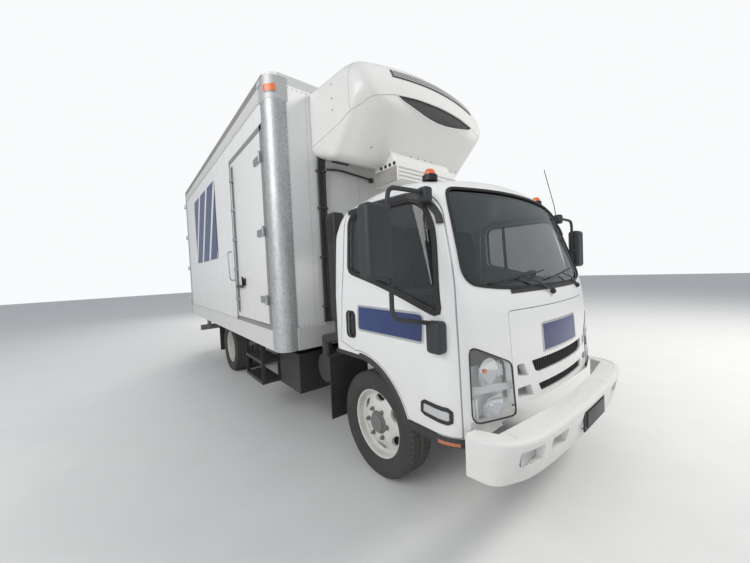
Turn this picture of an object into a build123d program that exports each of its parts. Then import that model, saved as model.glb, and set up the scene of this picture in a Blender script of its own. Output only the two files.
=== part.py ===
import os
from functools import cache
from math import acos, asin, cos, radians, sin

from build123d import *

# A refrigerated truck: tilting cab over the front axle, insulated box with a side door and two
# rear doors, and a cooling unit on the nose of the box.
# Millimetres. The front faces -Y, +X is the driver's side (left), +Z is up, z = 0 is the ground.
# Sketch planes count y from the front axle, so a value of y reads as "behind the front axle".

# Overall
FRONT_OVERHANG = 1205
WHEELBASE = 3810
REAR_OVERHANG = 2190
LENGTH = FRONT_OVERHANG + WHEELBASE + REAR_OVERHANG
FRONT_AXLE = FRONT_OVERHANG - LENGTH / 2
FIT = 0.3
FAR = 3000

# Wheels
TYRE_R = 405.5
TYRE_WIDTH = 226
RIM_R = 262
RIM_WIDTH = 172
LIP_R = 248
DISC_R = 148
FRONT_TRACK = 1665
REAR_TRACK = 1650
TWIN_SPACING = 265
NUT_CIRCLE = 222.25
NUT_COUNT = 6
NUT_R = 19
NUT_LENGTH = 28
HAND_HOLES = 6
HAND_HOLE_R = 32
HAND_HOLE_CIRCLE = 380
HAND_HOLE_DEPTH = 45
HUB_R = 84
SPINDLE_R = 34

# Steering
KINGPIN_X = 720
KINGPIN_R = 20
ARM_BACK = 165
ARM_IN = 60
TIE_ROD_R = 16

# Chassis
RAIL_OUTER_X = 425
RAIL_TOP = 846
RAIL_DEPTH = 200
RAIL_FLANGE = 65
RAIL_WALL = 7
RAIL_FRONT = -825
TUNNEL_RISE = 20
CAB_MOUNT_Y = (-790, 210)
BEAM_Z = 330

# Cab
CAB_HALF = 1035
CAB_REAR = 363
CAB_WALL = 50
CAB_FLOOR = 966
CAB_ROOF = 2262
SILL_Z = 600
FRONT_LOW = 735
ARCH_Y = 20
ARCH_Z = 460
ARCH_R = 490
ARCH_STEPS = 10
DOOR_GAP = 8
PILLAR_Y = -843
SIDE_START = -873
TUNNEL_START = -880
GLASS = 6
GLASS_INSET = 16
LID_THICKNESS = 25
LAMP_DEPTH = 26

# Box
BOX_FRONT = 912
BOX_LENGTH = 4999
BOX_HALF = 1298
BOX_FLOOR_Z = 866
BOX_TOP_Z = 3483
BOX_WALL = 80
BOX_FLOOR = 134
BOX_ROOF = 90
RAIL_SKIN = 8
POST_R = 120
BOX_REAR = BOX_FRONT + BOX_LENGTH
FRAME_DEPTH = 100
FRAME_SIDE = 91
LEAF = 75
LEAF_GAP = 12
PIN_R = 12
PIN_OUT = 20

# Cooling unit
UNIT_HALF = 870
UNIT_FRONT = -30
SEAM_Z = 3030
SEAM = 6


def level(z):
    """Plan view at height z: x across the truck, y behind the front axle."""
    return Plane(origin=(0, FRONT_AXLE, z))


def side(x):
    """Side view at x: y behind the front axle, then height."""
    return Plane(origin=(x, FRONT_AXLE, 0), x_dir=(0, 1, 0), z_dir=(1, 0, 0))


def cross(y):
    """Front view at y behind the front axle: x across, then height. Extrudes towards the front."""
    return Plane(origin=(0, FRONT_AXLE + y, 0), x_dir=(1, 0, 0), z_dir=(0, -1, 0))


def save(part, name):
    """Label a finished piece and write it as one STEP file."""
    part.label = name
    export_step(part, f"parts/{name}.step")


def save_pair(part, name):
    """Write a left-hand piece and its mirror image."""
    save(part, f"{name}_left")
    save(mirror(part, about=Plane.YZ), f"{name}_right")


def block(x, y, z, mode=Mode.ADD):
    """A box from three (low, high) pairs, y counted from the front axle."""
    middle = ((x[0] + x[1]) / 2, FRONT_AXLE + (y[0] + y[1]) / 2, (z[0] + z[1]) / 2)
    with Locations(middle):
        Box(x[1] - x[0], y[1] - y[0], z[1] - z[0], mode=mode)


def rod(points, radius, sides=8):
    """A bar along straight runs with mitred corners. Flat sides keep its mesh light."""
    with BuildPart() as bar:
        with BuildLine(Plane(origin=(0, FRONT_AXLE, 0))) as route:
            Polyline(*points)
        with BuildSketch(Plane(origin=route.line @ 0, z_dir=route.line % 0)):
            RegularPolygon(radius, sides)
        sweep(transition=Transition.RIGHT)
    return bar.part


def post(x, y, low, high, radius, sides=8):
    """An upright flat-sided post between two heights."""
    with BuildPart() as upright:
        with BuildSketch(level(low)):
            with Locations((x, y)):
                RegularPolygon(radius, sides)
        extrude(amount=high - low)
    return upright.part


os.makedirs("parts", exist_ok=True)

# Wheels

def tyre_profile(x, half):
    """Half section of a tyre centred at x."""
    Polygon((x - half, RIM_R), (x + half, RIM_R), (x + half, TYRE_R), (x - half, TYRE_R), align=None)


def wheel_plane(axle_y):
    """Upright section through a wheel's axis: x across, then radius from the hub's centre."""
    return Plane(origin=(0, FRONT_AXLE + axle_y, TYRE_R), x_dir=(1, 0, 0), z_dir=(0, -1, 0))


def wheel_axis(axle_y):
    return Axis((0, FRONT_AXLE + axle_y, TYRE_R), (1, 0, 0))


def wheel_face(x, axle_y):
    """Plane across the wheel at x, seen from outside."""
    return Plane(origin=(x, FRONT_AXLE + axle_y, TYRE_R), x_dir=(0, 1, 0), z_dir=(1, 0, 0))


def ring_of(radius, count, corner_r, sides, start=0):
    """Flat-sided outlines spaced evenly round the wheel's centre."""
    with PolarLocations(radius, count, start_angle=start):
        RegularPolygon(corner_r, sides)


def disc(axle_y, x, radius, sides, mode=Mode.ADD):
    """A flat-sided disc between two places along a wheel's axis."""
    with BuildSketch(wheel_face(x[0], axle_y)) as flat:
        RegularPolygon(radius, sides)
    extrude(flat.sketch, amount=x[1] - x[0], mode=mode)


def wheel_disc(axle_y, back, out, face, seat, hub_end, cap):
    """A rim with a dished face, hand holes, raised nut seat, nuts and a hub bored for the spindle."""
    with BuildPart() as wheel:
        disc(axle_y, (back, out), RIM_OUT, RIM_SIDES)
        disc(axle_y, (face, out), LIP_R, RIM_SIDES, Mode.SUBTRACT)
        if seat > face:
            disc(axle_y, (face, seat), DISC_R, 2 * RIM_SIDES // 3)
        disc(axle_y, (seat, hub_end), HUB_R, RIM_SIDES // 3)
        with BuildSketch(wheel_face(back, axle_y)):
            Circle(BORE_R)
        extrude(amount=hub_end - cap - back, mode=Mode.SUBTRACT)
        with BuildSketch(wheel_face(face - HAND_HOLE_DEPTH, axle_y)):
            ring_of(HAND_HOLE_CIRCLE / 2, HAND_HOLES, HAND_HOLE_R, 8, 30)
        extrude(amount=HAND_HOLE_DEPTH, mode=Mode.SUBTRACT)
        with BuildSketch(wheel_face(seat, axle_y)):
            ring_of(NUT_CIRCLE / 2, NUT_COUNT, NUT_R, 6)
        extrude(amount=NUT_LENGTH)
    return wheel.part


front_x = FRONT_TRACK / 2
with BuildPart() as front_tyre:
    with BuildSketch(wheel_plane(0)):
        tyre_profile(front_x, TYRE_WIDTH / 2)
    revolve(axis=wheel_axis(0))
save_pair(front_tyre.part, "front_tyre")

# Rims are flat-sided all round to keep their faces few. Each has its brake drum closing its back.
RIM_SIDES = 48
RIM_OUT = RIM_R - FIT
BORE_R = SPINDLE_R + FIT
barrel_out = front_x + RIM_WIDTH / 2
FRONT_SEAT = barrel_out - 12
FRONT_DISC = barrel_out - 42
FRONT_BACK = KINGPIN_X + 65
save_pair(wheel_disc(0, FRONT_BACK, barrel_out, FRONT_DISC, FRONT_SEAT, FRONT_SEAT + 30, 18), "front_rim")

rear_x = REAR_TRACK / 2
outer_tyre = rear_x + TWIN_SPACING / 2
inner_tyre = rear_x - TWIN_SPACING / 2
with BuildPart() as rear_tyres:
    for x, half in ((outer_tyre, TYRE_WIDTH / 2), (inner_tyre, TYRE_WIDTH / 2 - 8)):
        with BuildSketch(wheel_plane(WHEELBASE)):
            tyre_profile(x, half)
        revolve(axis=wheel_axis(WHEELBASE))
save_pair(rear_tyres.part, "rear_tyres")

twin_out = outer_tyre + RIM_WIDTH / 2
REAR_SEAT = rear_x + 12
REAR_BACK = REAR_SEAT - 130
save_pair(wheel_disc(WHEELBASE, REAR_BACK, twin_out, REAR_SEAT, REAR_SEAT, REAR_SEAT + 120, 20), "rear_rims")

# Steering knuckles with their spindles, and the tie rod between their arms

ARM_Z = TYRE_R - 100
arm_pin_x = KINGPIN_X - ARM_IN
with BuildPart() as knuckle:
    add(post(KINGPIN_X, 0, TYRE_R - 120, TYRE_R - 76, 38))
    add(post(KINGPIN_X, 0, TYRE_R + 76, TYRE_R + 120, 38))
    block((KINGPIN_X + 24, KINGPIN_X + 54), (-45, 45), (TYRE_R - 120, TYRE_R + 120))
    with BuildSketch(wheel_face(KINGPIN_X + 54, 0)):
        Circle(SPINDLE_R)
    extrude(amount=FRONT_SEAT - KINGPIN_X - 54)
    with BuildSketch(level(ARM_Z)):
        with BuildLine():
            Polyline((KINGPIN_X - 22, 0), (KINGPIN_X + 54, 0), (KINGPIN_X + 30, 60), (arm_pin_x + 22, ARM_BACK),
                     (arm_pin_x - 22, ARM_BACK), (KINGPIN_X - 22, 95), close=True)
        make_face()
        with Locations((arm_pin_x, ARM_BACK)):
            RegularPolygon(24, 8)
    extrude(amount=22)
save_pair(knuckle.part, "knuckle")

with BuildPart() as tie_rod:
    add(rod([(-arm_pin_x, ARM_BACK, ARM_Z - 28), (arm_pin_x, ARM_BACK, ARM_Z - 28)], TIE_ROD_R))
    for x in (-arm_pin_x, arm_pin_x):
        add(post(x, ARM_BACK, ARM_Z - 50, ARM_Z - FIT, 24))
save(tie_rod.part, "tie_rod")

# Chassis

CROSS_LOW = 95
CROSS_SIZE = 70
crossmembers = (-800, 1180, 2100, 3050, 4500, 5300)
rail_low = RAIL_TOP - RAIL_DEPTH
rail_rear = BOX_REAR - 30
with BuildPart() as frame_rails:
    with BuildSketch(cross(RAIL_FRONT)):
        with BuildLine():
            Polyline((RAIL_OUTER_X, rail_low), (RAIL_OUTER_X, RAIL_TOP), (RAIL_OUTER_X - RAIL_FLANGE, RAIL_TOP),
                     (RAIL_OUTER_X - RAIL_FLANGE, RAIL_TOP - RAIL_WALL),
                     (RAIL_OUTER_X - RAIL_WALL, RAIL_TOP - RAIL_WALL), (RAIL_OUTER_X - RAIL_WALL, rail_low + RAIL_WALL),
                     (RAIL_OUTER_X - RAIL_FLANGE, rail_low + RAIL_WALL), (RAIL_OUTER_X - RAIL_FLANGE, rail_low),
                     close=True)
        make_face()
        mirror(about=Plane.YZ)
    extrude(amount=RAIL_FRONT - rail_rear)
    for x in (-RAIL_OUTER_X + 5, RAIL_OUTER_X - 55):
        for y in CAB_MOUNT_Y:
            block((x, x + 50), (y, y + 90), (RAIL_TOP, RAIL_TOP + TUNNEL_RISE - FIT))
save(frame_rails.part, "frame_rails")

with BuildPart() as crossmember_set:
    for y in crossmembers:
        block((RAIL_WALL - RAIL_OUTER_X, RAIL_OUTER_X - RAIL_WALL), (y, y + CROSS_SIZE),
              (rail_low + CROSS_LOW, rail_low + CROSS_LOW + CROSS_SIZE))
save(crossmember_set.part, "crossmembers")

SPRING_X = 380
SPRING_W = 70


def leaf_spring(axle_y, half, seat_z, thickness):
    """A pack of leaves as one bar bent up to its two eyes, hung from the rail by its shackles."""
    eye_z = rail_low - 40
    low = (SPRING_X - SPRING_W / 2, SPRING_X + SPRING_W / 2)
    shares = (-1, -0.7, -0.35, 0, 0.35, 0.7, 1)
    under = [(axle_y + half * share, seat_z + (eye_z - 14 - seat_z) * share ** 2) for share in shares]
    over = [(axle_y + half * share, seat_z + thickness + (eye_z - seat_z - thickness) * share ** 2) for share in shares]
    with BuildPart() as spring:
        with BuildSketch(side(low[0])):
            Polygon(*under, *reversed(over), align=None)
        extrude(amount=SPRING_W)
        for y in (axle_y - half, axle_y + half):
            block(low, (y - 22, y + 22), (eye_z, rail_low))
        mirror(about=Plane.YZ)
    return spring.part


beam_end = KINGPIN_X - 58
with BuildPart() as front_axle:
    with BuildSketch(cross(-45)):
        with BuildLine():
            Polyline((0, BEAM_Z - 45), (520, BEAM_Z - 45), (beam_end, TYRE_R - 70), (beam_end, TYRE_R + 70),
                     (500, BEAM_Z + 45), (0, BEAM_Z + 45), close=True)
        make_face()
        mirror(about=Plane.YZ)
    extrude(amount=-90)
    for x in (-1, 1):
        block(sorted((x * (beam_end - 2), x * KINGPIN_X)), (-18, 18), (TYRE_R - 70, TYRE_R + 70))
        add(post(x * KINGPIN_X, 0, TYRE_R - 76 + FIT, TYRE_R + 76 - FIT, KINGPIN_R))
    add(leaf_spring(0, 620, BEAM_Z + 42, 60))
save(front_axle.part, "front_axle")

TUBE_R = 55
DIFF_R = 165
NOSE_END = WHEELBASE - 280
with BuildPart() as rear_axle:
    with BuildSketch(wheel_face(0, WHEELBASE)):
        RegularPolygon(TUBE_R, 16)
    extrude(amount=REAR_BACK - 5)
    for x, radius in ((0, DIFF_R), (150, DIFF_R - 70)):
        with BuildSketch(wheel_face(x, WHEELBASE)):
            RegularPolygon(radius, 16)
    loft(ruled=True)
    with BuildSketch(wheel_face(REAR_BACK - 6, WHEELBASE)):
        Circle(SPINDLE_R)
    extrude(amount=REAR_SEAT + 100 - REAR_BACK)
    mirror(about=Plane.YZ)
    add(rod([(0, WHEELBASE - 100, TYRE_R), (0, NOSE_END, TYRE_R)], 70, 12))
rear_springs = leaf_spring(WHEELBASE, 650, TYRE_R + TUBE_R - 4, 90) - rear_axle.part
save(Compound([rear_axle.part] + list(rear_springs.solids())), "rear_axle")

ENGINE_Z = (470, 940)
SHAFT_Z = 650
with BuildPart() as powertrain:
    block((-280, 280), (-520, 420), ENGINE_Z)
    block((-170, 170), (420, 1120), (500, 720))
    add(rod([(0, 1118, SHAFT_Z), (0, NOSE_END - 60, TYRE_R), (0, NOSE_END - FIT, TYRE_R)], 45, 12))
save(powertrain.part, "powertrain")

# Gear hung beside the frame reaches out this far
SKIRT_X = BOX_HALF - 208
EXHAUST_Z = 600
silencer = (WHEELBASE - 2050, WHEELBASE - 1050)
with BuildPart() as exhaust:
    add(rod([(-610, silencer[0], EXHAUST_Z), (-610, silencer[1], EXHAUST_Z)], 115, 16))
    add(rod([(-235, 420 + FIT, EXHAUST_Z), (-235, silencer[0] - 510, EXHAUST_Z), (-610, silencer[0] - 200, EXHAUST_Z),
             (-610, silencer[0] + 40, EXHAUST_Z)], 34))
    add(rod([(-610, silencer[1] - 60, EXHAUST_Z), (-610, silencer[1] + 320, EXHAUST_Z - 20),
             (-SKIRT_X + 130, silencer[1] + 390, EXHAUST_Z - 60)], 34))
    for y in (silencer[0] + 140, silencer[1] - 160):
        block((-636, -584), (y, y + 40), (EXHAUST_Z + 90, BOX_FLOOR_Z))
save(exhaust.part, "exhaust")

with BuildPart() as fuel_tank:
    with BuildSketch(cross(1250)):
        Polygon((550, 400), (850, 400), (910, 460), (910, 740), (850, 800), (550, 800), (490, 740), (490, 460),
                align=None)
    extrude(amount=-900)
    for y in (1400, 1940):
        block((RAIL_OUTER_X, 560), (y, y + 50), (700, 830))
save(fuel_tank.part, "fuel_tank")

with BuildPart() as battery_box:
    block((-SKIRT_X, -600), (985, 1490), (400, 800))
    for y in (1050, 1380):
        block((-620, -RAIL_OUTER_X), (y, y + 50), (700, 760))
save(battery_box.part, "battery_box")

CLEANER_Y = 700
CLEANER_Z = 700
SNORKEL_X = (-985, -865)
SNORKEL_Y = (385, 515)
SNORKEL_Z = (1170, 2120)
with BuildPart() as air_cleaner:
    with BuildSketch(side(-960)):
        with Locations((CLEANER_Y, CLEANER_Z)):
            RegularPolygon(135, 20)
    extrude(amount=400)
    add(rod([(-925, CLEANER_Y, CLEANER_Z + 60), (-925, CLEANER_Y, CLEANER_Z + 270), (-925, 450, CLEANER_Z + 330),
             (-925, 450, SNORKEL_Z[0] - 8)], 48, 10))
    block((-600, -RAIL_OUTER_X), (CLEANER_Y - 30, CLEANER_Y + 30), (CLEANER_Z, CLEANER_Z + 60))
save(air_cleaner.part, "air_cleaner")

STEP_X = 13 - BOX_HALF
STEP_Y = (1530, 2090)
with BuildPart() as side_step:
    for y in STEP_Y:
        block((STEP_X, STEP_X + 40), (y - 6, y + 6), (400, BOX_FLOOR_Z))
        block((STEP_X + 180, STEP_X + 220), (y - 6, y + 6), (400, BOX_FLOOR_Z))
    for z in (400, 630):
        block((STEP_X, STEP_X + 220), STEP_Y, (z, z + 36))
save(side_step.part, "side_step")

FRONT_FLAP_Y = 505
REAR_FLAP_Y = WHEELBASE + 590
with BuildPart() as mudflaps:
    block((600, 1020), (FRONT_FLAP_Y, FRONT_FLAP_Y + 10), (290, 850))
    block((RAIL_OUTER_X, 1000), (FRONT_FLAP_Y + 10, FRONT_FLAP_Y + 40), (790, 830))
    block((600, SKIRT_X), (REAR_FLAP_Y, REAR_FLAP_Y + 10), (250, BOX_FLOOR_Z))
    mirror(about=Plane.YZ)
save(mudflaps.part, "mudflaps")

REAR_FACE = WHEELBASE + REAR_OVERHANG
BAR_Z = (450, 560)
with BuildPart() as rear_bumper:
    block((-1150, 1150), (REAR_FACE - 100, REAR_FACE), BAR_Z)
    with BuildSketch(side(960)):
        Polygon((REAR_FACE - 100, BAR_Z[0]), (REAR_FACE - 20, BAR_Z[0]), (BOX_REAR - 30, BOX_FLOOR_Z),
                (BOX_REAR - 260, BOX_FLOOR_Z), align=None)
    extrude(amount=60)
    mirror(about=Plane.YZ)
save(rear_bumper.part, "rear_bumper")

# Front bumper: a hollow channel that wraps round both corners, with a tread along its top

BUMPER_Z = (475, 700)
BUMPER_HALF = 1020
BUMPER_END = -885
BUMPER_WALL = 22
BUMPER_DEPTH = 175
PLATE_FACE = -1170
PLATE_Z = 580
PLATE_HOLES = (177.8, 120.65)
PLATE_HOLE_R = 3.5


bumper_right = [(280, -1200), (550, -1186), (820, -1163), (905, -1130), (975, -1075), (1010, -1015),
                (BUMPER_HALF, -960), (BUMPER_HALF, BUMPER_END)]
BUMPER_PLAN = [(0, -FRONT_OVERHANG)] + bumper_right + [(-x, y) for x, y in reversed(bumper_right)]


def polygon(points, grow=0):
    """A closed outline, grown or shrunk all round."""
    with BuildSketch() as outline:
        Polygon(*points, align=None)
        if grow:
            offset(amount=grow, kind=Kind.INTERSECTION)
    return outline.sketch


with BuildPart() as front_bumper:
    with BuildSketch(level(BUMPER_Z[0])):
        Polygon(*BUMPER_PLAN, align=None)
    extrude(amount=BUMPER_Z[1] - BUMPER_Z[0])
    with BuildSketch(side(-FAR)):
        Polygon((-FRONT_OVERHANG, BUMPER_Z[1]), (-FRONT_OVERHANG, 640), (-1160, BUMPER_Z[0]),
                (BUMPER_END, BUMPER_Z[0]), (BUMPER_END, BUMPER_Z[1]), align=None)
    extrude(amount=2 * FAR, mode=Mode.INTERSECT)
    with BuildSketch(level(BUMPER_Z[0] + BUMPER_WALL)):
        add(polygon(BUMPER_PLAN, -BUMPER_WALL - 40))
    extrude(amount=BUMPER_Z[1] - BUMPER_Z[0] - 2 * BUMPER_WALL, mode=Mode.SUBTRACT)
    with BuildSketch(level(BUMPER_Z[0] - 1)):
        Polygon((-900, BUMPER_END + 1), (-860, -985), (-440, BUMPER_DEPTH - 1192), (0, BUMPER_DEPTH - FRONT_OVERHANG),
                (440, BUMPER_DEPTH - 1192), (860, -985), (900, BUMPER_END + 1), align=None)
    extrude(amount=BUMPER_Z[1] - BUMPER_Z[0] + 2, mode=Mode.SUBTRACT)
    for x in (-655, 655):
        block((x - 107, x + 107), (-FAR, -1100), (522, 598), mode=Mode.SUBTRACT)
    block((-170, 170), (-FAR, PLATE_FACE), (505, 655), mode=Mode.SUBTRACT)
    with BuildSketch(cross(-1100)):
        with Locations((0, PLATE_Z)):
            with GridLocations(*PLATE_HOLES, 2, 2):
                Circle(PLATE_HOLE_R)
    extrude(amount=200, mode=Mode.SUBTRACT)
    for x in (-RAIL_OUTER_X + 5, RAIL_OUTER_X - 65):
        block((x, x + 60), (-1150, RAIL_FRONT), (rail_low + 10, 690))
save(front_bumper.part, "front_bumper")

# Box: insulated panels with aluminium edges

wall_x = BOX_HALF - RAIL_SKIN
# The walls stand on the floor panel, and the tread that carries goods lies between them
FLOOR_TREAD = 6
TREAD_GAP = 2
floor_top = BOX_FLOOR_Z + BOX_FLOOR
wall_z = (floor_top - FLOOR_TREAD, BOX_TOP_Z - BOX_ROOF)
panel_y = (BOX_FRONT + POST_R, BOX_REAR - FRAME_DEPTH)
SIDE_DOOR_Y = (1150, 2255)
SIDE_DOOR_Z = (1110, 3010)
DOOR_FRAME = 40
with BuildPart() as box_floor:
    block((-wall_x, wall_x), panel_y, (BOX_FLOOR_Z, wall_z[0]))
    block((POST_R - wall_x, wall_x - POST_R), (BOX_FRONT, panel_y[0]), (BOX_FLOOR_Z, wall_z[0]))
    tread_x = wall_x - BOX_WALL - TREAD_GAP
    block((-tread_x, tread_x), (panel_y[0] + TREAD_GAP, panel_y[1] - TREAD_GAP), (wall_z[0], floor_top))
save(box_floor.part, "box_floor")

with BuildPart() as box_runners:
    block((RAIL_OUTER_X - RAIL_FLANGE, RAIL_OUTER_X), (BOX_FRONT, panel_y[1]), (RAIL_TOP, BOX_FLOOR_Z))
    mirror(about=Plane.YZ)
save(box_runners.part, "box_runners")

with BuildPart() as box_left_wall:
    block((wall_x - BOX_WALL, wall_x), panel_y, wall_z)
save(box_left_wall.part, "box_left_wall")

with BuildPart() as box_right_wall:
    block((-wall_x, BOX_WALL - wall_x), panel_y, wall_z)
    block((-wall_x, BOX_WALL - wall_x), (SIDE_DOOR_Y[0] - LEAF_GAP, SIDE_DOOR_Y[1] + LEAF_GAP),
          (SIDE_DOOR_Z[0] - LEAF_GAP, SIDE_DOOR_Z[1] + LEAF_GAP), mode=Mode.SUBTRACT)
save(box_right_wall.part, "box_right_wall")

with BuildPart() as box_front_wall:
    block((POST_R - wall_x, wall_x - POST_R), (BOX_FRONT, BOX_FRONT + BOX_WALL), wall_z)
save(box_front_wall.part, "box_front_wall")

with BuildPart() as box_roof:
    with BuildSketch(level(wall_z[1])):
        with BuildLine():
            Line((-wall_x, panel_y[1]), (-wall_x, BOX_FRONT + POST_R))
            TangentArc((-wall_x, BOX_FRONT + POST_R), (POST_R - wall_x, BOX_FRONT), tangent=(0, -1))
            Line((POST_R - wall_x, BOX_FRONT), (wall_x - POST_R, BOX_FRONT))
            TangentArc((wall_x - POST_R, BOX_FRONT), (wall_x, BOX_FRONT + POST_R), tangent=(1, 0))
            Line((wall_x, BOX_FRONT + POST_R), (wall_x, panel_y[1]))
            Line((wall_x, panel_y[1]), (-wall_x, panel_y[1]))
        make_face()
    extrude(amount=BOX_ROOF)
save(box_roof.part, "box_roof")

with BuildPart() as box_rails:
    with BuildSketch(level(BOX_FLOOR_Z)):
        with Locations((wall_x - POST_R, BOX_FRONT + POST_R)):
            Rectangle(POST_R, POST_R, align=(Align.MIN, Align.MAX))
            Circle(POST_R, mode=Mode.INTERSECT)
            Circle(POST_R - BOX_WALL, mode=Mode.SUBTRACT)
    extrude(amount=wall_z[1] - BOX_FLOOR_Z)
    block((wall_x, BOX_HALF), (panel_y[0] + 1, panel_y[1]), (BOX_FLOOR_Z - 8, 1077))
    block((wall_x, BOX_HALF), (panel_y[0] + 1, panel_y[1]), (3270, BOX_TOP_Z))
    mirror(about=Plane.YZ)
    block((-wall_x - 4, -wall_x), (SIDE_DOOR_Y[0] - LEAF_GAP - DOOR_FRAME, SIDE_DOOR_Y[1] + LEAF_GAP + DOOR_FRAME),
          (1077, SIDE_DOOR_Z[1] + LEAF_GAP + DOOR_FRAME))
    block((-BOX_HALF, -wall_x), (SIDE_DOOR_Y[0] - LEAF_GAP, SIDE_DOOR_Y[1] + LEAF_GAP),
          (SIDE_DOOR_Z[0] - LEAF_GAP, SIDE_DOOR_Z[1] + LEAF_GAP), mode=Mode.SUBTRACT)
save(box_rails.part, "box_rails")

REAR_OPEN_Z = (1020, 3360)
opening_x = BOX_HALF - FRAME_SIDE
with BuildPart() as rear_door_frame:
    block((-BOX_HALF, BOX_HALF), (panel_y[1], BOX_REAR), (BOX_FLOOR_Z, BOX_TOP_Z))
    block((-opening_x, opening_x), (panel_y[1], BOX_REAR), REAR_OPEN_Z, mode=Mode.SUBTRACT)
save(rear_door_frame.part, "rear_door_frame")

LAMP_R = 48
with BuildPart() as box_lamps:
    for x in (-1110, -980, -850, 850, 980, 1110):
        with BuildSketch(cross(BOX_REAR + 14)):
            with Locations((x, (BOX_FLOOR_Z + REAR_OPEN_Z[0]) / 2)):
                RegularPolygon(LAMP_R, 12)
        extrude(amount=14)
    for x in (-1200, -160, 0, 160, 1200):
        block((x - 45, x + 45), (BOX_REAR, BOX_REAR + 14), (3405, 3440))
    for x in (-1, 1):
        low, high = sorted((x * BOX_HALF, x * (BOX_HALF + 14)))
        block((low, high), (BOX_FRONT + POST_R + 10, BOX_FRONT + POST_R + 100), (3390, 3440))
save(box_lamps.part, "box_lamps")


# Insulated doors: a leaf, strap hinges that reach over the frame to the pin, and a lock rod.
# Each strap rests on a bracket that is fixed to the frame.

HINGE_Z = 70
STRAP = 10
ROD_R = 14
BRACKET = 12
REAR_HINGES = (1180, 1850, 2520, 3190)
SIDE_HINGES = (1358, 2030, 2746)

REAR_PIN = (BOX_HALF + PIN_OUT, BOX_REAR + 35)
with BuildPart() as rear_door:
    block((LEAF_GAP / 2, opening_x - LEAF_GAP), (BOX_REAR + 8 - LEAF, BOX_REAR + 8),
          (REAR_OPEN_Z[0] + LEAF_GAP, REAR_OPEN_Z[1] - LEAF_GAP))
    for z in REAR_HINGES:
        strap_z = (z - HINGE_Z / 2, z + HINGE_Z / 2)
        block((opening_x - 220, REAR_PIN[0]), (BOX_REAR + 8, BOX_REAR + 8 + STRAP), strap_z)
        block((REAR_PIN[0] - STRAP, REAR_PIN[0] + 4), (BOX_REAR + 8, REAR_PIN[1]), strap_z)
        add(post(*REAR_PIN, *strap_z, PIN_R))
    add(post(150, BOX_REAR + 30, REAR_OPEN_Z[0] + 30, REAR_OPEN_Z[1] - 30, ROD_R))
    for z in (1100, 1700, 2300, 2900, 3280):
        block((110, 190), (BOX_REAR + 8, BOX_REAR + 26), (z - 20, z + 20))
save_pair(rear_door.part, "rear_door")

SIDE_PIN = (-wall_x - 35, SIDE_DOOR_Y[0] - 25)
leaf_out = -wall_x - 2
with BuildPart() as side_door:
    block((leaf_out, leaf_out + BOX_WALL), SIDE_DOOR_Y, SIDE_DOOR_Z)
    for z in SIDE_HINGES:
        strap_z = (z - HINGE_Z / 2, z + HINGE_Z / 2)
        block((leaf_out - 18, leaf_out - 8), (SIDE_PIN[1], SIDE_DOOR_Y[0] + 190), strap_z)
        block((leaf_out - 8, leaf_out), (SIDE_DOOR_Y[0] + 20, SIDE_DOOR_Y[0] + 190), strap_z)
        block((SIDE_PIN[0], leaf_out - 8), (SIDE_PIN[1] - 4, SIDE_PIN[1] + 6), strap_z)
        add(post(*SIDE_PIN, *strap_z, PIN_R))
    add(post(leaf_out - 26, 2170, 1180, 2940, ROD_R))
    for z in (1330, 1700, 2060, 2420, 2780):
        block((leaf_out - 24, leaf_out), (2130, 2210), (z - 20, z + 20))
save(side_door.part, "side_door")

with BuildPart() as hinge_brackets:
    for z in REAR_HINGES:
        under = (z - HINGE_Z / 2 - BRACKET, z - HINGE_Z / 2 - FIT)
        for edge in (-1, 1):
            block(sorted((edge * (BOX_HALF - 40), edge * (REAR_PIN[0] + PIN_R))), (BOX_REAR, REAR_PIN[1] + PIN_R), under)
    for z in SIDE_HINGES:
        under = (z - HINGE_Z / 2 - BRACKET, z - HINGE_Z / 2 - FIT)
        block((SIDE_PIN[0] - PIN_R, -wall_x - 4), (SIDE_PIN[1] - PIN_R, SIDE_PIN[1] + PIN_R), under)
save(hinge_brackets.part, "hinge_brackets")

# Cooling unit on the nose of the box

BELLY_Z = 2600
UNIT_TOP = 3478


def both_sides(points):
    """A closed outline from its right-hand half, which starts on the middle line."""
    return points + [(-x, y) for x, y in reversed(points) if x]


def unit_form():
    """Outer form of the unit: a rounded plan, cut to its side outline and to its front outline."""
    with BuildPart() as form:
        with BuildSketch(level(BELLY_Z)):
            plan = [(0, UNIT_FRONT), (300, UNIT_FRONT + 10), (560, 12), (690, 70), (785, 150), (845, 240),
                    (UNIT_HALF, 340), (UNIT_HALF, BOX_FRONT)]
            Polygon(*both_sides(plan), align=None)
        extrude(amount=UNIT_TOP - BELLY_Z)
        with BuildSketch(side(-FAR)):
            Polygon((BOX_FRONT, 3430), (360, UNIT_TOP), (200, 3450), (80, 3385), (10, 3290), (UNIT_FRONT, 3180),
                    (UNIT_FRONT, SEAM_Z - 40), (230, 2640), (330, BELLY_Z), (760, BELLY_Z), (BOX_FRONT, 2650),
                    align=None)
        extrude(amount=2 * FAR, mode=Mode.INTERSECT)
        with BuildSketch(cross(-FAR)):
            front = [(0, BELLY_Z), (300, BELLY_Z), (640, 2640), (760, 2710), (835, 2810), (UNIT_HALF, 2950),
                     (UNIT_HALF, 3260), (850, 3330), (800, 3390), (700, 3440), (350, UNIT_TOP - 10), (0, UNIT_TOP)]
            Polygon(*both_sides(front), align=None)
        extrude(amount=-2 * FAR, mode=Mode.INTERSECT)
    return form.part


unit = unit_form()

with BuildPart() as reefer_shell:
    add(unit)
    block((-FAR, FAR), (-FAR, FAR), (0, SEAM_Z + SEAM / 2), mode=Mode.SUBTRACT)
save(reefer_shell.part, "reefer_shell")

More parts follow.
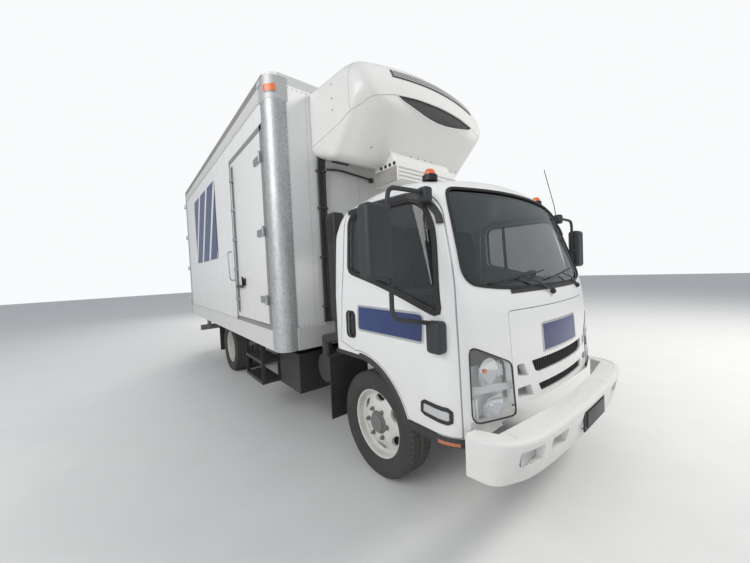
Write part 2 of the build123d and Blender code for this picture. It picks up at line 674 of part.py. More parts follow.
OUTLET_X = 430
OUTLET_Y = (120, 455)
OUTLET_Z = 2400
with BuildPart() as reefer_belly:
    add(unit)
    block((-FAR, FAR), (-FAR, FAR), (SEAM_Z - SEAM / 2, 2 * FAR), mode=Mode.SUBTRACT)
    block((-OUTLET_X, OUTLET_X), OUTLET_Y, (OUTLET_Z, SEAM_Z - 100))
save(reefer_belly.part, "reefer_belly")

with BuildPart() as reefer_grille:
    with BuildSketch(level(SEAM_Z + 12)):
        Polygon((0, UNIT_FRONT - 10), (290, UNIT_FRONT + 1), (545, 2), (545, 20), (0, UNIT_FRONT + 30), (-545, 20),
                (-545, 2), (-290, UNIT_FRONT + 1), align=None)
    extrude(amount=110)
    add(unit, mode=Mode.SUBTRACT)
save(reefer_grille.part, "reefer_grille")

with BuildPart() as reefer_hoses:
    for x in (-760, -820):
        add(post(x, BOX_FRONT - 25, 1100, 2900, 15))
        for z in (1300, 1900, 2500):
            block((x - 18, x + 18), (BOX_FRONT - 25, BOX_FRONT), (z - 12, z + 12))
    add(unit, mode=Mode.SUBTRACT)
save(reefer_hoses.part, "reefer_hoses")

# Cab: one outer form, drawn in by an inset for every inner surface

# Plan sections: height, half width, front at the middle, corner (x, y), where the side starts
CAB_PLAN = ((500, 1035, -1035, (870, -918), -770),
            (1400, 1035, -992, (870, -878), -730),
            (2300, 980, -650, (810, -572), -430))


def cab_plan(half, front, corner, side_y, inset):
    """Outline of the cab at one height: a bowed nose, a rounded corner, and straight sides."""
    x = half - inset
    corner_x = corner[0] - inset * 0.6
    corner_y = corner[1] + inset
    nose_y = front + inset
    nose = [(share * corner_x, nose_y + (corner_y - nose_y) * share ** 2) for share in (0, 0.36, 0.7, 1)]
    turn = [(corner_x + (x - corner_x) * sin(radians(step)), side_y + (corner_y - side_y) * cos(radians(step)))
            for step in (30, 60, 90)]
    return both_sides(nose + turn + [(x, CAB_REAR - inset)])


@cache
def cab_form(inset):
    """Outer form of the cab, or the same form drawn in all round by an inset."""
    with BuildPart() as form:
        for z, half, front, corner, side_y in CAB_PLAN:
            with BuildSketch(level(z)):
                Polygon(*cab_plan(half, front, corner, side_y, inset), align=None)
        loft(ruled=True)
        rear = CAB_REAR - inset
        with BuildSketch(side(-FAR)):
            Polygon((-1300, 400), (rear, 400), (rear, 1930 - inset), (rear - 16, 2025 - inset),
                    (rear - 62, 2112 - inset), (rear - 110, 2162 - inset), (rear - 175, 2195 - inset),
                    (-20, 2243 - inset), (-220, CAB_ROOF - inset), (-420, 2254 - inset), (-590, 2228 - inset),
                    (-690, 2186 - inset), (-790, 2100 - inset), (-1300, 2100 - inset), align=None)
        extrude(amount=2 * FAR, mode=Mode.INTERSECT)
        eave = 1002 - inset
        with BuildSketch(cross(-FAR)):
            crown = [(0, CAB_ROOF), (320, 2251), (620, 2219), (eave - 107, 2172), (eave - 50, 2135), (eave - 16, 2070),
                     (eave, 1985), (1100, 1985), (1100, 400)]
            Polygon(*both_sides([(x, z - inset) for x, z in crown]), align=None)
        extrude(amount=-2 * FAR, mode=Mode.INTERSECT)
    return form.part


cab_outer = cab_form(0)
cab_inner = cab_form(CAB_WALL)

# Outlines on the cab's skin, seen from the side (y, z) and from the front (x, z)
DOOR_R = ARCH_R + 48


def door_outline(gap=0):
    """Outline of the door leaf seen from the side, or of its opening when drawn out by a gap.

    It follows the wheel arch at its lower rear.
    """
    radius = DOOR_R - gap
    first = asin(60 / radius)
    last = -acos((190 - gap) / radius)
    turns = [first + (last - first) * step / ARCH_STEPS for step in range(ARCH_STEPS + 1)]
    arch = [(ARCH_Y + radius * sin(turn), ARCH_Z + radius * cos(turn)) for turn in turns]
    rear = gap * 1.75
    return [(PILLAR_Y - gap, ARCH_Z + 190 - gap), (PILLAR_Y + 22 - gap, 1300), (PILLAR_Y + 46 - gap, 1520),
            (-668 - 0.95 * gap, 1971 + 0.42 * gap), (-612 - 0.55 * gap, 2055 + gap), (134, 2072 + gap),
            (196 + rear, 1992), (208 + rear, 1600), (262 + gap, 1040 - gap)] + arch


DOOR_HINGES = (740, 1180)


def door_front(z):
    """Where the door's front edge lies at height z, below the belt line."""
    return PILLAR_Y + 22 * (z - ARCH_Z - 190) / (1300 - ARCH_Z - 190)


WINDOW = ((135, 1600), (-300, 1487), (-745, 1330), (-692, 1720), (-655, 1880), (-575, 2028), (85, 2038), (135, 1988))
WINDSCREEN = ((-895, 1500), (-560, 1450), (560, 1450), (895, 1500), (800, 2105), (0, 2135), (-800, 2105))
REAR_WINDOW = (1150, 420, 1760)
HEADLAMP = ((620, 1015), (925, 1155), (935, 725), (612, 700))
LID_HALF = 612
LID_Z = (750, 1316)
# Grille slots: centre height, width, height
SLOTS = ((947, 780, 52), (872, 700, 30), (802, 660, 48))


with BuildPart() as door_opening:
    with BuildSketch(side(CAB_HALF - 200)):
        Polygon(*door_outline(DOOR_GAP), align=None)
    extrude(amount=400)
right_opening = mirror(door_opening.part, about=Plane.YZ)

with BuildPart() as cavity:
    add(cab_inner)
    block((-FAR, FAR), (-FAR, FAR), (0, SILL_Z + CAB_WALL), mode=Mode.SUBTRACT)
    block((-FAR, FAR), (-FAR, SIDE_START + CAB_WALL), (0, FRONT_LOW + CAB_WALL), mode=Mode.SUBTRACT)
    block((-FAR, FAR), (ARCH_Y, FAR), (0, CAB_FLOOR + CAB_WALL), mode=Mode.SUBTRACT)
    block((-405, 405), (-700, FAR), (0, CAB_FLOOR + CAB_WALL), mode=Mode.SUBTRACT)
    block((-490, 490), (TUNNEL_START - CAB_WALL, FAR), (0, RAIL_TOP + TUNNEL_RISE + CAB_WALL), mode=Mode.SUBTRACT)
    with BuildSketch(side(-FAR)):
        with Locations((ARCH_Y, ARCH_Z)):
            Circle(ARCH_R + CAB_WALL)
    extrude(amount=2 * FAR, mode=Mode.SUBTRACT)

with BuildPart() as lid_pocket:
    with BuildSketch(cross(-700)):
        Polygon((-LID_HALF - 4, LID_Z[0] - 40), (LID_HALF + 4, LID_Z[0] - 40), (LID_HALF + 4, LID_Z[1] + 4),
                (-LID_HALF - 4, LID_Z[1] + 4), align=None)
    extrude(amount=500)
    add(cab_form(34), mode=Mode.SUBTRACT)

with BuildPart() as lamp_pocket:
    with BuildSketch(cross(-650)):
        add(polygon(HEADLAMP, 4))
        mirror(about=Plane.YZ)
    extrude(amount=500)
    add(cab_form(LAMP_DEPTH + FIT), mode=Mode.SUBTRACT)

with BuildPart() as cab_shell:
    add(cab_outer)
    add(cavity.part, mode=Mode.SUBTRACT)
    add(door_opening.part, mode=Mode.SUBTRACT)
    add(right_opening, mode=Mode.SUBTRACT)
    block((-FAR, FAR), (-FAR, FAR), (0, SILL_Z), mode=Mode.SUBTRACT)
    block((-FAR, FAR), (-FAR, SIDE_START), (0, FRONT_LOW), mode=Mode.SUBTRACT)
    block((-FAR, FAR), (ARCH_Y, FAR), (0, CAB_FLOOR), mode=Mode.SUBTRACT)
    block((-355, 355), (-650, FAR), (0, CAB_FLOOR), mode=Mode.SUBTRACT)
    block((-440, 440), (TUNNEL_START, FAR), (0, RAIL_TOP + TUNNEL_RISE), mode=Mode.SUBTRACT)
    with BuildSketch(side(-FAR)):
        with Locations((ARCH_Y, ARCH_Z)):
            Circle(ARCH_R)
    extrude(amount=2 * FAR, mode=Mode.SUBTRACT)
    with BuildSketch(cross(-500)):
        add(polygon(WINDSCREEN))
    extrude(amount=900, mode=Mode.SUBTRACT)
    with BuildSketch(cross(CAB_REAR + 10)):
        with Locations((0, REAR_WINDOW[2])):
            Rectangle(REAR_WINDOW[0], REAR_WINDOW[1])
    extrude(amount=CAB_WALL + 100, mode=Mode.SUBTRACT)
    add(lid_pocket.part, mode=Mode.SUBTRACT)
    add(lamp_pocket.part, mode=Mode.SUBTRACT)
    for x in (-965, 895):
        for z in DOOR_HINGES:
            with BuildSketch(side(x)):
                Polygon((door_front(z) - DOOR_GAP - 3, z), (door_front(z) - FIT, z),
                        (door_front(z + HINGE_Z) - FIT, z + HINGE_Z),
                        (door_front(z + HINGE_Z) - DOOR_GAP - 3, z + HINGE_Z), align=None)
            extrude(amount=70)
save(cab_shell.part, "cab_shell")

with BuildPart() as front_lid:
    with BuildSketch(cross(-700)):
        Polygon((-LID_HALF, LID_Z[0]), (LID_HALF, LID_Z[0]), (LID_HALF, LID_Z[1]), (-LID_HALF, LID_Z[1]), align=None)
        for z, width, height in SLOTS:
            with Locations((0, z)):
                Rectangle(width, height, mode=Mode.SUBTRACT)
    extrude(amount=500)
    add(cab_outer, mode=Mode.INTERSECT)
    add(cab_form(LID_THICKNESS), mode=Mode.SUBTRACT)
save(front_lid.part, "front_lid")

with BuildPart() as grille:
    with BuildSketch(cross(-700)):
        Polygon((-430, 765), (430, 765), (430, 990), (-430, 990), align=None)
    extrude(amount=500)
    add(cab_form(LID_THICKNESS + FIT), mode=Mode.INTERSECT)
    add(cab_form(34 - FIT), mode=Mode.SUBTRACT)
save(grille.part, "grille")

with BuildPart() as headlamps:
    with BuildSketch(cross(-650)):
        add(polygon(HEADLAMP))
        mirror(about=Plane.YZ)
    extrude(amount=500)
    add(cab_outer, mode=Mode.INTERSECT)
    add(cab_form(LAMP_DEPTH), mode=Mode.SUBTRACT)
save(headlamps.part, "headlamps")

with BuildPart() as cab_glass:
    with BuildSketch(cross(-500)):
        add(polygon(WINDSCREEN, -FIT))
    extrude(amount=900)
    add(cab_form(GLASS_INSET), mode=Mode.INTERSECT)
    add(cab_form(GLASS_INSET + GLASS), mode=Mode.SUBTRACT)
    with BuildSketch(cross(CAB_REAR - GLASS_INSET)):
        with Locations((0, REAR_WINDOW[2])):
            Rectangle(REAR_WINDOW[0] - 2 * FIT, REAR_WINDOW[1] - 2 * FIT)
    extrude(amount=GLASS)
save(cab_glass.part, "cab_glass")

with BuildPart() as cab_door:
    with BuildSketch(side(CAB_HALF - 175)):
        Polygon(*door_outline(), align=None)
        Polygon(*WINDOW, align=None, mode=Mode.SUBTRACT)
    extrude(amount=400)
    add(cab_outer, mode=Mode.INTERSECT)
    add(cab_inner, mode=Mode.SUBTRACT)
save_pair(cab_door.part, "cab_door")

# The side windows are flat panes that lean in with the flank
with BuildPart() as door_glass:
    with BuildSketch(cross(-FAR)):
        belt, eaves = ((z, half - GLASS_INSET) for z, half in ((CAB_PLAN[1][0], CAB_PLAN[1][1]),
                                                              (CAB_PLAN[2][0], CAB_PLAN[2][1])))
        Polygon((belt[1], 1200), (belt[1], belt[0]), (eaves[1], eaves[0]), (eaves[1] - GLASS, eaves[0]),
                (belt[1] - GLASS, belt[0]), (belt[1] - GLASS, 1200), align=None)
    extrude(amount=-2 * FAR)
    with BuildSketch(side(CAB_HALF - 220)):
        add(polygon(WINDOW, -FIT))
    extrude(amount=400, mode=Mode.INTERSECT)
save_pair(door_glass.part, "door_glass")

# Mirror: a tube from the door's top to a bracket low on the door, with the head clamped on it
TUBE_X = 1300
TUBE_Y = -660
MIRROR_X = (1312, 1480)
MIRROR_Z = (1550, 1930)
with BuildPart() as mirror_arm:
    add(rod([(CAB_HALF + 1, TUBE_Y - 40, 1335), (TUBE_X, TUBE_Y, 1335), (TUBE_X, TUBE_Y, 2030),
             (975, TUBE_Y + 20, 2050)], 13))
    block((CAB_HALF + 1, CAB_HALF + 70), (-790, -675), (1130, 1350))
    block(MIRROR_X, (TUBE_Y - 55, TUBE_Y + 45), MIRROR_Z)
    block((TUBE_X - 16, MIRROR_X[0]), (TUBE_Y - 18, TUBE_Y + 18), (1720, 1780))
    add(cab_outer, mode=Mode.SUBTRACT)
save_pair(mirror_arm.part, "mirror")

with BuildPart() as dashboard:
    with BuildSketch(side(-FAR)):
        Polygon((-1000, 1020), (-1000, 1400), (-900, 1425), (-700, 1395), (-640, 1330), (-650, 1230), (-740, 1060),
                (-760, 1020), align=None)
    extrude(amount=2 * FAR)
    add(cab_form(CAB_WALL + 8), mode=Mode.INTERSECT)
    block((-862, 862), (-FAR, FAR), (0, FAR), mode=Mode.INTERSECT)
WHEEL_CENTRE = (500, -430, 1400)
COLUMN_TILT = 38
column_axis = (0, sin(radians(COLUMN_TILT)), cos(radians(COLUMN_TILT)))


def along_column(distance):
    """A point on the steering column's axis, y counted from the front axle."""
    return tuple(c + distance * a for c, a in zip(WHEEL_CENTRE, column_axis))


with BuildPart() as column:
    add(dashboard.part)
    add(rod([along_column(-60 - FIT), along_column(-700)], 32, 12))
    block((-FAR, FAR), (-FAR, FAR), (0, SILL_Z + CAB_WALL), mode=Mode.SUBTRACT)
    add(cab_shell.part, mode=Mode.SUBTRACT)
save(column.part, "dashboard")

with BuildPart() as steering_wheel:
    wheel_origin = (WHEEL_CENTRE[0], FRONT_AXLE + WHEEL_CENTRE[1], WHEEL_CENTRE[2])
    wheel_flat = Plane(origin=wheel_origin, x_dir=(1, 0, 0), z_dir=column_axis)
    with BuildSketch(wheel_flat):
        RegularPolygon(220, 24)
        RegularPolygon(191, 24, mode=Mode.SUBTRACT)
    extrude(amount=14, both=True)
    with BuildSketch(wheel_flat):
        RegularPolygon(38, 12)
    extrude(amount=-60)
    with Locations(wheel_flat):
        with PolarLocations(0, 3, start_angle=90):
            with Locations((100, 0, -8)):
                Box(200, 34, 14)
save(steering_wheel.part, "steering_wheel")

SEAT_FLOOR = CAB_FLOOR + CAB_WALL
with BuildPart() as seats:
    for x in ((230, 760), (-760, 100)):
        with BuildSketch(side(x[0])):
            Polygon((-230, SEAT_FLOOR), (-250, 1140), (-200, 1185), (80, 1165), (175, 1700), (210, 1740), (270, 1730),
                    (265, 1200), (240, SEAT_FLOOR), align=None)
        extrude(amount=x[1] - x[0])
save(seats.part, "seats")

with BuildPart() as cab_trim:
    with BuildSketch(side(CAB_HALF)):
        with Locations((ARCH_Y, ARCH_Z)):
            Circle(ARCH_R + 38)
            Circle(ARCH_R - 2, mode=Mode.SUBTRACT)
        Polygon((-700, SILL_Z), (ARCH_Y, SILL_Z), (ARCH_Y, 1100), (-700, 1100), align=None, mode=Mode.INTERSECT)
    extrude(amount=18)
    block((CAB_HALF + FIT, CAB_HALF + 18), (PILLAR_Y, ARCH_Y - 465), (SILL_Z, SILL_Z + 40))
    mirror(about=Plane.YZ)
    block(SNORKEL_X, SNORKEL_Y, SNORKEL_Z)
    for z in (1400, 1900):
        block((SNORKEL_X[0] + 40, SNORKEL_X[1] - 40), (CAB_REAR, SNORKEL_Y[0]), (z, z + 30))
save(cab_trim.part, "cab_trim")

with BuildPart() as beacons:
    for x in (-790, 790):
        add(post(x, -520, 2150, 2230, 38, 12))
        with BuildSketch(level(2230)):
            with Locations((x, -520)):
                RegularPolygon(46, 12)
        extrude(amount=60, taper=20)
    add(cab_outer, mode=Mode.SUBTRACT)
save(beacons.part, "beacons")
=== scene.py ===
from math import pi, radians

import bmesh
import bpy
import numpy as np
from mathutils import Matrix


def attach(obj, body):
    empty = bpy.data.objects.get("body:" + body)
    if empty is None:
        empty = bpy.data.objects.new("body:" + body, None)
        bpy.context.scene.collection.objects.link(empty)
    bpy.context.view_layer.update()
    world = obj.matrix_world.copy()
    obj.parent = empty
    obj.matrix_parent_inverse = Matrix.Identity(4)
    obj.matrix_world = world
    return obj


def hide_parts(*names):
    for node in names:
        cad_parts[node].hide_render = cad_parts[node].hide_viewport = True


# A two-axle refrigerated truck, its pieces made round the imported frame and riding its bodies
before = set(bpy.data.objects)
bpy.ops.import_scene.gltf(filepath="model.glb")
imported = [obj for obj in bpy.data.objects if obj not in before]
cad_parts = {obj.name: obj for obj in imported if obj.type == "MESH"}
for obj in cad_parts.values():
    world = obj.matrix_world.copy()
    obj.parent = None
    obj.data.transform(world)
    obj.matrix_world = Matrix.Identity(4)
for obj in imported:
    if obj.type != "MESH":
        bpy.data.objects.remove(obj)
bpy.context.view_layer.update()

# The front axle along Y. Every place below counts y from it, in metres.
AXLE = -2.3975
WHEELBASE = 3.81
TYRE_R = 0.4055
# Radius where a tyre's tread ends and its wall begins
TREAD_R = 0.39

# The box's outer faces: its nose along y and its sides along x
BOX_NOSE, BOX_SIDE = 0.912, 1.298


# Shapes. A shell is (points, quads, caps), and a cap is a flat face of many corners.

def grid(rows, columns, ring=False, loop=False):
    """Quads over a grid of points. ring joins the last row to the first, loop the last column."""
    r = np.arange(rows if ring else rows - 1)[:, None]
    c = np.arange(columns if loop else columns - 1)[None, :]
    below, right = (r + 1) % rows, (c + 1) % columns
    corners = (r * columns + c, r * columns + right, below * columns + right, below * columns + c)
    return np.stack(np.broadcast_arrays(*corners), -1).reshape(-1, 4)


def shell(points, quads, caps=()):
    """A shell from its points in any shape, its quads and its caps."""
    return np.asarray(points, float).reshape(-1, 3), np.asarray(quads).reshape(-1, 4), list(caps)


def join(*shells):
    """Several shells as one, with their faces renumbered."""
    base = np.cumsum([0] + [len(s[0]) for s in shells])
    caps = [np.asarray(cap) + base[k] for k, s in enumerate(shells) for cap in s[2]]
    return (np.concatenate([s[0] for s in shells]),
            np.concatenate([s[1] + base[k] for k, s in enumerate(shells)]), caps)


def mirrored(s):
    """The same shell on the other side of the truck."""
    return s[0] * (-1, 1, 1), s[1][:, ::-1], [cap[::-1] for cap in s[2]]


def both(s):
    """A shell together with its mirror image."""
    return join(s, mirrored(s))


def unit(vectors):
    """Vectors divided by their lengths."""
    return vectors / np.maximum(np.linalg.norm(vectors, axis=-1, keepdims=True), 1e-12)


def bend(points, radius, closed=False, steps=6):
    """A path with each corner replaced by a curve that starts and ends a radius away from it."""
    points = np.asarray(points, float)
    count = len(points)
    radii = np.broadcast_to(radius, count)
    t = np.linspace(0, 1, steps)[:, None]
    runs = []
    for k in range(count):
        if not closed and k in (0, count - 1):
            runs.append(points[k][None])
            continue
        corner = points[k]
        back, ahead = points[k - 1] - corner, points[(k + 1) % count] - corner
        start = corner + unit(back) * min(radii[k], 0.48 * np.linalg.norm(back))
        end = corner + unit(ahead) * min(radii[k], 0.48 * np.linalg.norm(ahead))
        runs.append((1 - t) ** 2 * start + 2 * t * (1 - t) * corner + t ** 2 * end)
    return np.concatenate(runs)


def evenly(path, step, closed=False):
    """The same path with its points an even step apart."""
    path = np.asarray(path, float)
    if closed:
        path = np.concatenate([path, path[:1]])
    length = np.concatenate([[0], np.cumsum(np.linalg.norm(np.diff(path, axis=0), axis=1))])
    marks = np.linspace(0, length[-1], max(int(length[-1] / step), 2) + 1)
    even = np.stack([np.interp(marks, length, path[:, k]) for k in range(path.shape[1])], -1)
    return even[:-1] if closed else even


def sweep(path, outward, profile, closed=False):
    """A closed profile carried along a path. Its point (a, b) lies a to the path's side and b outward."""
    path, profile = np.asarray(path, float), np.asarray(profile, float)
    ahead = np.roll(path, -1, 0) - np.roll(path, 1, 0) if closed else np.gradient(path, axis=0)
    ahead = unit(ahead)
    outward = np.broadcast_to(np.asarray(outward, float), path.shape)
    outward = unit(outward - (outward * ahead).sum(-1, keepdims=True) * ahead)
    across = np.cross(ahead, outward)
    points = path[:, None] + profile[None, :, :1] * across[:, None] + profile[None, :, 1:] * outward[:, None]
    rows, columns = points.shape[:2]
    caps = () if closed else (np.arange(columns)[::-1], np.arange(columns) + (rows - 1) * columns)
    return shell(points, grid(rows, columns, ring=closed, loop=True), caps)


def circle(radius, sides=12):
    """Profile of a round bar: (r cos a, r sin a) as a goes round."""
    a = np.arange(sides) * 2 * pi / sides
    return np.stack([radius * np.cos(a), radius * np.sin(a)], -1)


def tube(points, radius, bend_radius=0.0, sides=12, step=0.02, hint=(0.3, 0.5, 0.8)):
    """A round bar along a path with rounded corners."""
    path = evenly(bend(points, bend_radius, steps=9), step) if bend_radius else np.asarray(points, float)
    return sweep(path, hint, circle(radius, sides))


def rectangle(width, height, edge=0.0):
    """Profile of a flat bar, its corners cut by a small edge."""
    w, h = width / 2, height / 2
    if not edge:
        return np.array([(-w, -h), (w, -h), (w, h), (-w, h)])
    return np.array([(-w, -h + edge), (-w + edge, -h), (w - edge, -h), (w, -h + edge),
                     (w, h - edge), (w - edge, h), (-w + edge, h), (-w, h - edge)])


def prism(outline, axis, low, high):
    """A closed outline carried straight along an axis. It holds the two other coordinates in order."""
    outline = np.asarray(outline, float)
    count = len(outline)
    points = np.concatenate([np.insert(outline, axis, low, 1), np.insert(outline, axis, high, 1)])
    return shell(points, grid(2, count, loop=True), (np.arange(count)[::-1], np.arange(count) + count))


def block(x, y, z):
    """A box from its range in x, in y and in z."""
    return prism([(x[0], y[0]), (x[1], y[0]), (x[1], y[1]), (x[0], y[1])], 2, *z)


def lathe(profile, centre, axis, steps=32, closed=False):
    """A profile of (radius, height) points turned about an axis through a centre."""
    profile, axis = np.asarray(profile, float), unit(np.asarray(axis, float))
    side = unit(np.cross(axis, (0.31, 0.9, 0.27)))
    a = (np.arange(steps) * 2 * pi / steps)[:, None]
    ring = np.cos(a) * side + np.sin(a) * np.cross(axis, side)
    points = np.asarray(centre) + profile[None, :, :1] * ring[:, None] + profile[None, :, 1:] * axis
    return shell(points, grid(steps, len(profile), ring=True, loop=closed))


def rays(low, high, counts, fan):
    """Starts and directions over a core box: straight from its faces and fanned round its edges."""
    ends = []
    for k in range(3):
        turn = np.linspace(-1, 0, fan + 1)
        middle = np.linspace(low[k], high[k], counts[k] + 1)[1:-1]
        place = np.concatenate([np.full(fan + 1, low[k]), middle, np.full(fan + 1, high[k])])
        slant = np.tan(np.concatenate([turn, middle * 0, -turn[::-1]]) * pi / 4)
        ends.append((place, slant))
    faces = []
    for axis in range(3):
        u, v = (axis + 1) % 3, (axis + 2) % 3
        for side, edge in ((-1, low[axis]), (1, high[axis])):
            start = np.empty((len(ends[u][0]), len(ends[v][0]), 3))
            way = np.empty_like(start)
            start[..., axis], start[..., u], start[..., v] = edge, ends[u][0][:, None], ends[v][0]
            way[..., axis], way[..., u], way[..., v] = side, ends[u][1][:, None], ends[v][1]
            quads = grid(*start.shape[:2])
            if side < 0:
                quads = quads[:, ::-1]
            faces.append((start.reshape(-1, 3), unit(way).reshape(-1, 3), quads))
    starts, quads, _ = join(*[(s, q, []) for s, w, q in faces])
    return starts, np.concatenate([w for s, w, q in faces]), quads


def meet(form, start, way, reach, inset=0.0):
    """Where rays from inside a form reach its skin, drawn in by an inset. Found by halving the ray."""
    start, way = np.asarray(start, float), np.asarray(way, float)
    near = np.zeros(start.shape[:-1])
    far = near + reach
    for _ in range(26):
        middle = (near + far) / 2
        inside = form(start + way * middle[..., None]) < -inset
        near, far = np.where(inside, middle, near), np.where(inside, far, middle)
    return start + way * far[..., None]


def cast(form, low, high, counts, fan=7, reach=1.2, inset=0.0):
    """Closed skin of a form, one point on each ray of a core box."""
    start, way, quads = rays(low, high, counts, fan)
    return shell(meet(form, start, way, reach, inset), quads)


def soft_box(low, high, radius, fan=3):
    """A box with all edges rounded: each ray of a smaller core box is as long as the radius."""
    low, high = np.asarray(low, float), np.asarray(high, float)
    start, way, quads = rays(low + radius, high - radius, (1, 1, 1), fan)
    return shell(start + way * radius, quads)


def round_max(a, b, radius):
    """The larger of two distances, with the edge where they meet rounded."""
    inner = np.minimum(np.maximum(a, b) + radius, 0)
    return inner + np.hypot(np.maximum(a + radius, 0), np.maximum(b + radius, 0)) - radius


def slope(form, points):
    """Outward direction of a form's skin: its differences over a small step each way."""
    steps = 1e-4 * np.eye(3)
    return unit(np.stack([form(points + step) - form(points - step) for step in steps], -1))


def rivets(points, outward, radius=0.0055, height=0.003):
    """Small domes on a surface, each of three rings of six points with closed ends, all made together."""
    points = np.asarray(points, float)
    outward = unit(np.broadcast_to(np.asarray(outward, float), points.shape))
    side = unit(np.cross(outward, (0.13, 0.27, 0.95)))
    other = np.cross(outward, side)
    a = np.arange(6) * pi / 3
    ring = radius * (np.cos(a)[None, :, None] * side[:, None] + np.sin(a)[None, :, None] * other[:, None])
    middle, up = points[:, None], outward[:, None]
    rings = [middle + ring - up * 0.001, middle + ring * 0.75 + up * height * 0.8,
             middle + ring * 0.2 + up * height]
    ends = [(12, 13, 14, 15), (12, 15, 16, 17), (3, 2, 1, 0), (5, 4, 3, 0)]
    quads = np.concatenate([grid(3, 6, loop=True), ends])
    faces = quads[None] + 18 * np.arange(len(points))[:, None, None]
    return shell(np.concatenate(rings, 1), faces)


# Objects

def linked(name, data):
    """A new object in the scene, holding a mesh, a lamp or a camera."""
    obj = bpy.data.objects.new(name, data)
    bpy.context.scene.collection.objects.link(obj)
    return obj


def raw(name, s):
    """A mesh object from a shell: merged at its seams, with its faces pointing out."""
    mesh = bpy.data.meshes.new(name)
    caps = [[int(corner) for corner in cap] for cap in s[2]]
    mesh.from_pydata((s[0] + (0, AXLE, 0)).tolist(), [], s[1].tolist() + caps)
    edit = bmesh.new()
    edit.from_mesh(mesh)
    bmesh.ops.remove_doubles(edit, verts=edit.verts, dist=2e-5)
    bmesh.ops.dissolve_degenerate(edit, dist=1e-6, edges=edit.edges)
    bmesh.ops.recalc_face_normals(edit, faces=edit.faces)
    edit.to_mesh(mesh)
    edit.free()
    return linked(name, mesh)


def carve(obj, *cutters, operation="DIFFERENCE"):
    """Cuts an object with shells or other objects, one after another."""
    for cutter in cutters:
        tool = raw("tool", cutter) if isinstance(cutter, tuple) else cutter
        cut = obj.modifiers.new("cut", "BOOLEAN")
        cut.operation, cut.object, cut.solver = operation, tool, "MANIFOLD"
        bpy.context.view_layer.update()
        mesh = bpy.data.meshes.new_from_object(obj.evaluated_get(bpy.context.evaluated_depsgraph_get()))
        obj.modifiers.clear()
        obj.data = mesh
        if isinstance(cutter, tuple):
            bpy.data.objects.remove(tool)
        if not mesh.polygons:
            raise RuntimeError(f"the cut left nothing of {obj.name}")


def twin(obj, name):
    """A mirror image of an object, with its faces turned out again."""
    mesh = obj.data.copy()
    mesh.transform(Matrix.Diagonal((-1, 1, 1, 1)))
    mesh.flip_normals()
    return linked(name, mesh)


def copied(obj, name):
    """A second object with its own copy of a mesh."""
    return linked(name, obj.data.copy())


# Edges sharper than this are shaded as edges.
SHARP = radians(32)


def dress(obj, body, slot, look, replaces=(), bevel=0.0):
    """Gives a piece its finish, shading, body and the CAD nodes that it stands for."""
    mesh = obj.data
    mesh.materials.clear()
    mesh.materials.append(look)
    mesh.shade_smooth()
    mesh.set_sharp_from_angle(angle=SHARP)
    if bevel:
        edge = obj.modifiers.new("edge", "BEVEL")
        edge.width, edge.segments, edge.limit_method, edge.angle_limit = bevel, 2, "ANGLE", radians(40)
        edge.harden_normals = True
    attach(obj, body)
    if replaces:
        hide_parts(*replaces)
    return obj


def part(name, s, body, slot, look, **options):
    """A finished piece from a shell."""
    return dress(raw(name, s), body, slot, look, **options)


def pair(name, s, body, slot, look, node=None):
    """A piece on the left one of two bodies, and its mirror image on the right one."""
    for side, made in (("left", s), ("right", mirrored(s))):
        replaces = (f"{node}_{side}",) if node else ()
        part(f"{name}_{side}", made, f"{body}_{side}", slot, look, replaces=replaces)


# Finishes

class Amount:
    """A number in a material that may change over a surface. Arithmetic on it adds Math nodes."""

    def __init__(self, look, socket):
        self.look, self.socket = look, socket

    def maths(self, operation, *values, clamp=False):
        inputs = dict(enumerate((self,) + values))
        return self.look.node("ShaderNodeMath", dict(operation=operation, use_clamp=clamp), inputs)

    def __add__(self, other):
        return self.maths("ADD", other)

    def __sub__(self, other):
        return self.maths("SUBTRACT", other)

    def __rsub__(self, other):
        return (self * -1.0) + other

    def __mul__(self, other):
        return self.maths("MULTIPLY", other)

    def __truediv__(self, other):
        return self.maths("DIVIDE", other)

    __radd__ = __add__
    __rmul__ = __mul__

    def above(self, edge, soft=0.001):
        """0 below an edge and 1 above it, with a soft step between."""
        return ((self - edge) / soft + 0.5).maths("MULTIPLY", 1.0, clamp=True)

    def absolute(self):
        return self.maths("ABSOLUTE")

    def lesser(self, other):
        return self.maths("MINIMUM", other)

    def greater(self, other):
        return self.maths("MAXIMUM", other)

    def near(self, spacing):
        """Distance from the nearest of many places an even spacing apart."""
        return self.maths("PINGPONG", spacing / 2)


